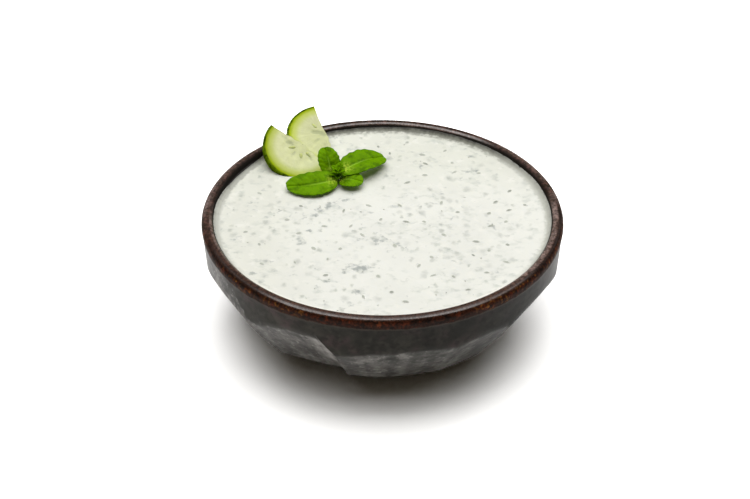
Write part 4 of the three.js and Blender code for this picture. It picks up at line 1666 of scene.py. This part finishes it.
class TZATZIKI_OT_cucumber(bpy.types.Operator):
    """Make the half slices of cucumber and their seeds"""

    bl_idname = "tzatziki.cucumber"
    bl_label = "Cucumber"

    def execute(self, context):
        settings = context.scene.tzatziki_garnish
        material = cucumber_material(settings)
        places, turns = [], []
        for shift, (name, (at, bearing, rise, turn, radius)) in enumerate(SLICES.items()):
            matrix = slice_matrix(at, bearing, rise, turn)
            piece = slice_mesh(name, radius, matrix, 10.0 * (shift + 1), material)
            finish_piece(piece, "cucumber", name)
            for x, y in SEEDS[name]:
                out = Euler((0, 0, math.atan2(y, x))).to_matrix()
                places.append(matrix @ Vector((x, y, -SEED_SINK)))
                turns.append((matrix.to_3x3() @ out).to_euler())
        spots = point_object("seed_places", places, {"turn": turns})
        growth = {"Length": SEED_LENGTH * MM, "Material": seed_material(settings)}
        seeds = grown("cucumber_seeds", spots, seed_tree(), growth)
        bpy.data.objects.remove(spots)
        finish_piece(seeds, "cucumber")
        return {"FINISHED"}


# ---- Mint


def leaf_half_width(u, width):
    """Half the width of a leaf, from 0 at the stem to 1 at the tip, with a toothed edge."""
    outline = np.sin(math.pi * (u * 0.98 + 0.005) ** 0.9) ** mix(0.3, 0.4, smoothstep(u, 0, 0.5))
    teeth = 1 + LEAF_TEETH * np.sin(u * LEAF_VEINS * 2 * math.pi)
    return width / 2 * np.maximum(outline, 0.1) * teeth


def leaf_surface(u, v, length, width, arch, droop, bow, fold):
    """Points of a leaf's middle surface in its own frame: X along the midrib, Y across, Z up."""
    half = leaf_half_width(u, width)
    side = np.abs(v)
    spine = arch * np.sin(math.pi * u) - droop * u * u
    wave = u * LEAF_VEINS - LEAF_SWEEP * side
    quilt = LEAF_QUILT * np.sin(2 * math.pi * wave) * side
    lift = fold * side * half * (2 - side)
    across = v * half + bow * np.sin(math.pi * u)
    return np.stack([u * length, across, spine + quilt + lift], -1)


def leaf_mesh(name, sizes, matrix, shift, material, painted_leaf_shade=0.0):
    """A leaf as a thin closed body, quilted between its veins and thin at its toothed edge."""
    rows, columns = LEAF_ROWS + 1, LEAF_COLUMNS + 1
    along, across = np.linspace(0, 1, rows), np.linspace(-1, 1, columns)
    u, v = (part.ravel() for part in np.meshgrid(along, across, indexing="ij"))
    points = leaf_surface(u, v, *sizes)
    side = np.abs(v)
    scale = min(1, sizes[1] / 10)
    wave = u * LEAF_VEINS - LEAF_SWEEP * side
    blister = 0.06 * (1 - np.abs(np.sin(math.pi * (wave - 0.25))) ** 6) * (side > 0.04)
    relief = blister - 0.2 * hump(v, 0, 0.07) + 0.2 * noise_at(points, 0.4, shift)
    relief = scale * relief * (1 - smoothstep(side, 0.85, 1)) * smoothstep(u, 0, 0.08)
    curl = 0.35 * scale * noise_at(points * (1, 0, 0), 0.22, shift + 7) * side**2 * np.sign(v)
    thick = mix(LEAF_THICKNESS, LEAF_EDGE, smoothstep(side, 0.2, 1)) * mix(1.0, 0.6, u)
    up = np.array([0, 0, 1])
    upper = points + up * (relief + curl + thick / 2)[:, None]
    lower = points + up * (relief + curl - thick / 2)[:, None]

    under = rows * columns
    faces = sheet_faces(rows, columns) + sheet_faces(rows, columns, under, True)
    edge = list(range(columns))
    edge += [i * columns + columns - 1 for i in range(1, rows)]
    edge += [(rows - 1) * columns + k for k in range(columns - 2, -1, -1)]
    edge += [i * columns for i in range(rows - 2, 0, -1)]
    for a, b in zip(edge, edge[1:] + edge[:1]):
        faces.append((a, b, under + b, under + a))
    body = placed(np.concatenate([upper, lower]), matrix)
    values = {"leaf_u": np.tile(u, 2), "leaf_v": np.tile(v, 2), "painted_leaf_shade": np.full(len(body), painted_leaf_shade)}
    return make_object(name, body, faces, material, values)


def leaf_matrix(at, heading, climb, roll):
    """From a leaf's own frame to its place on the sprig."""
    turn = Euler((math.radians(roll), math.radians(-climb), math.radians(heading)), "XYZ")
    return Matrix.Translation(at) @ turn.to_matrix().to_4x4()


# Tones of the mint, with its painted highlight, that the settings don't have
LEAF_BRIGHT = (0.19, 0.385, 0.0)
LEAF_EDGE_GREEN = (0.06, 0.16, 0.0)
LEAF_BASE_HIGHLIGHT = (0.56, 0.74, 0.07)
STEM_GREEN = (0.20, 0.34, 0.035)


def mint_material(settings):
    """Fresh mint: mid green blisters, painted shade in the hollows, dark edges, a pale midrib and a
    painted highlight at the base.
    """
    material, g = new_graph("mint_leaf")
    at = g.place()
    u, v = g.attribute("leaf_u"), g.attribute("leaf_v")
    side = abs(v)
    wave = g.maths("SINE", (u * LEAF_VEINS - side * LEAF_SWEEP) * (2 * math.pi))
    valley_shade = g.step(0 - wave, 0.72, 0.99)
    patches = g.noise(at, 3.4, detail=3)
    fine = g.noise(at, 0.9, detail=3, roughness=0.6)
    colour = g.blend(g.step(patches, 0.42, 0.72), settings.leaf, settings.leaf_dark)
    colour = g.blend(g.step(fine, 0.46, 0.70) * 0.5, colour, LEAF_BRIGHT)
    # Painted shade in the hollows between the blisters
    colour = g.blend(valley_shade * g.step(side, 0.1, 0.3) * 0.12, colour, settings.leaf_dark)
    colour = g.blend(g.step(side, 0.86, 1.0) * 0.55, colour, LEAF_EDGE_GREEN)
    # Painted shade over a whole leaf that faces away from the light
    colour = g.blend(g.attribute("painted_leaf_shade"), colour, settings.leaf_dark)
    midrib = (1 - g.step(side, 0.03, 0.11)) * (1 - g.step(u, 0.25, 0.8))
    colour = g.blend(midrib * 0.6, colour, settings.vein)
    # A painted highlight at the base of each leaf
    base_highlight = (1 - g.step(u, 0.06, 0.3)) * (1 - g.step(side, 0.2, 0.8)) * g.step(fine, 0.40, 0.58)
    colour = g.blend(base_highlight * 0.85, colour, LEAF_BASE_HIGHLIGHT)
    g.surface(
        Base_Color=colour,
        Roughness=0.42 + (fine - 0.5) * 0.2,
        Normal=g.bump(g.noise(at, 0.9, detail=3), 0.4, 0.15),
        Specular_IOR_Level=0.02,
        Subsurface_Weight=0.12,
        Subsurface_Radius=(0.4, 1.0, 0.1),
        Subsurface_Scale=0.001,
    )
    return material


def tube(line, radii, sides=14):
    """Points and faces of a closed tube along a line of points."""
    points = []
    for i, here in enumerate(line):
        ahead = line[min(i + 1, len(line) - 1)] - line[max(i - 1, 0)]
        turn = ahead.to_track_quat("Z", "Y")
        for k in range(sides):
            angle = 2 * math.pi * k / sides
            points.append(here + turn @ Vector((math.cos(angle), math.sin(angle), 0)) * radii[i])
    faces = ring_faces(len(line), sides)
    faces.append(tuple(range(sides))[::-1])
    faces.append(tuple(range((len(line) - 1) * sides, len(line) * sides)))
    return points, faces


def curved(start, end, rise, count):
    """Points from start to end, arched upwards by rise."""
    start, end = Vector(start), Vector(end)
    steps = [i / (count - 1) for i in range(count)]
    return [start.lerp(end, t) + Vector((0, 0, rise * math.sin(math.pi * t))) for t in steps]


def stem_mesh(material):
    """The stem, with a stalk to each of the four leaves."""
    x, y = SPRIG_AT
    stem = curved((x, y, STEM_FOOT), (x, y, STEM_TOP), 0, 9)
    parts = [tube(stem, STEM_RADIUS * np.linspace(1, 0.75, len(stem)))]
    for at, heading, climb, *_ in LEAVES.values():
        start = (x, y, min(at[2], STEM_TOP) - 0.4)
        end = leaf_matrix(at, heading, climb, 0) @ Vector((1.2, 0, 0.1))
        stalk = curved(start, end, 0.5, len(STALK_RADII))
        parts.append(tube(stalk, STALK_RADII, 10))
    points, faces = [], []
    for some, more in parts:
        faces += [tuple(i + len(points) for i in face) for face in more]
        points += some
    return make_object("mint_stalks", points, faces, material)


def stem_material(settings):
    """Pale green stem with a darker bloom."""
    material, g = new_graph("mint_stem")
    at = g.place()
    colour = g.patches(STEM_GREEN, settings.leaf_dark, at, 1.5, (0.4, 0.7))
    bump = g.bump(g.noise(at, 0.5), 0.3, 0.1)
    g.surface(Base_Color=colour, Roughness=0.42, Specular_IOR_Level=0.2, Normal=bump)
    return material


class TZATZIKI_OT_mint(bpy.types.Operator):
    """Make the sprig of mint"""

    bl_idname = "tzatziki.mint"
    bl_label = "Mint"

    def execute(self, context):
        settings = context.scene.tzatziki_garnish
        material = mint_material(settings)
        for shift, (name, (at, heading, climb, roll, *sizes)) in enumerate(LEAVES.items()):
            matrix = leaf_matrix(at, heading, climb, roll)
            blade, painted_leaf_shade = name.replace("leaf", "blade"), PAINTED_LEAF_SHADE.get(name, 0)
            leaf = leaf_mesh(blade, sizes, matrix, 20.0 + 6 * shift, material, painted_leaf_shade)
            finish_piece(leaf, "mint_leaf", name)
        for shift, (heading, climb, length, width) in enumerate(BUD_LEAVES):
            matrix = leaf_matrix((*SPRIG_AT, STEM_TOP - BUD_BELOW), heading, climb, 0)
            sizes = (length, width, *BUD_SHAPE)
            young = leaf_mesh(f"mint_bud_{shift + 1}", sizes, matrix, 60.0 + shift, material)
            finish_piece(young, "mint_leaf")
        finish_piece(stem_mesh(stem_material(settings)), "mint_stem", "mint_stem")
        return {"FINISHED"}


# ---- Stage


def area_light(name, place, size, power):
    """A soft panel that faces the bowl."""
    light = bpy.data.lights.new(name, "AREA")
    light.shape = "RECTANGLE"
    light.size, light.size_y = size
    light.energy = power
    made = bpy.data.objects.new(name, light)
    made.location = place
    made.rotation_euler = (Vector(AIM) - Vector(place)).to_track_quat("-Z", "Y").to_euler()
    bpy.context.scene.collection.objects.link(made)
    return made


def light_only(light, piece):
    """Lets a light reach only one piece."""
    lit = bpy.data.collections.new(light.name + "_pieces")
    lit.objects.link(piece)
    light.light_linking.receiver_collection = lit


def make_floor():
    """A pale floor that is a little uneven in tone."""
    material, g = new_graph("studio_floor")
    tint = g.noise(g.node("ShaderNodeTexCoord", {}, {}, "Object"), 400, detail=1)
    g.surface(Base_Color=g.blend(tint, (0.90, 0.90, 0.895), (0.91, 0.91, 0.905)), Roughness=0.9)
    far = FLOOR_SIDE / 2 / MM
    corners = [(-far, -far, 0), (far, -far, 0), (far, far, 0), (-far, far, 0)]
    return make_object("floor", corners, [(0, 1, 2, 3)], material)


def make_world(strength):
    """The warm light of the room."""
    world = bpy.data.worlds.new("studio_room")
    world.use_nodes = True
    back = world.node_tree.nodes["Background"]
    back.inputs["Color"].default_value = ROOM_COLOUR
    back.inputs["Strength"].default_value = strength
    bpy.context.scene.world = world


def make_camera(settings):
    """The camera, in front of the bowl and above it."""
    camera = bpy.data.cameras.new("camera")
    camera.sensor_width = 36
    camera.lens = settings.lens
    camera.clip_end = 20
    made = bpy.data.objects.new("camera", camera)
    target = Vector(settings.target)
    away = Vector((0, -math.cos(settings.elevation), math.sin(settings.elevation)))
    made.location = target + away * settings.distance
    made.rotation_euler = (math.pi / 2 - settings.elevation, 0, 0)
    bpy.context.scene.collection.objects.link(made)
    bpy.context.scene.camera = made


class TZATZIKI_OT_stage(bpy.types.Operator):
    """Make the floor, the soft light and the camera"""

    bl_idname = "tzatziki.stage"
    bl_label = "Stage"

    def execute(self, context):
        settings = context.scene.tzatziki_stage
        floor = make_floor()
        make_world(settings.ambient)
        area_light("softbox", *SOFTBOX, settings.key_power)
        area_light("back_panel", *BACK_PANEL, settings.back_power)
        area_light("side_panel", *SIDE_PANEL, settings.side_power)
        light_only(area_light("floor_light", *FLOOR_LIGHT, settings.floor_power), floor)
        make_camera(settings)
        context.scene.view_settings.view_transform = "Standard"
        return {"FINISHED"}


# ---- The add-on


class TZATZIKI_PT_panel(bpy.types.Panel):
    """Lists the operators with their settings"""

    bl_label = "Tzatziki"
    bl_idname = "TZATZIKI_PT_panel"
    bl_space_type = "VIEW_3D"
    bl_region_type = "UI"
    bl_category = "Tzatziki"

    def draw(self, context):
        for operator, group in STEPS:
            box = self.layout.box()
            box.operator(operator.bl_idname)
            settings = getattr(context.scene, group)
            for name in settings.bl_rna.properties.keys():
                if name not in ("rna_type", "name"):
                    box.prop(settings, name)


STEPS = [
    (TZATZIKI_OT_stage, "tzatziki_stage"),
    (TZATZIKI_OT_bowl, "tzatziki_bowl"),
    (TZATZIKI_OT_dip, "tzatziki_dip"),
    (TZATZIKI_OT_cucumber, "tzatziki_garnish"),
    (TZATZIKI_OT_mint, "tzatziki_garnish"),
]
GROUPS = {
    "tzatziki_bowl": BowlSettings,
    "tzatziki_dip": DipSettings,
    "tzatziki_garnish": GarnishSettings,
    "tzatziki_stage": StageSettings,
}


def register():
    for name, group in GROUPS.items():
        bpy.utils.register_class(group)
        setattr(bpy.types.Scene, name, bpy.props.PointerProperty(type=group))
    for operator, _ in STEPS:
        bpy.utils.register_class(operator)
    bpy.utils.register_class(TZATZIKI_PT_panel)


def unregister():
    bpy.utils.unregister_class(TZATZIKI_PT_panel)
    for operator, _ in reversed(STEPS):
        bpy.utils.unregister_class(operator)
    for name, group in reversed(GROUPS.items()):
        delattr(bpy.types.Scene, name)
        bpy.utils.unregister_class(group)


def main():
    register()
    bpy.ops.tzatziki.stage()
    bpy.ops.tzatziki.bowl()
    bpy.ops.tzatziki.dip()
    bpy.ops.tzatziki.cucumber()
    bpy.ops.tzatziki.mint()


if __name__ == "__main__":
    main()
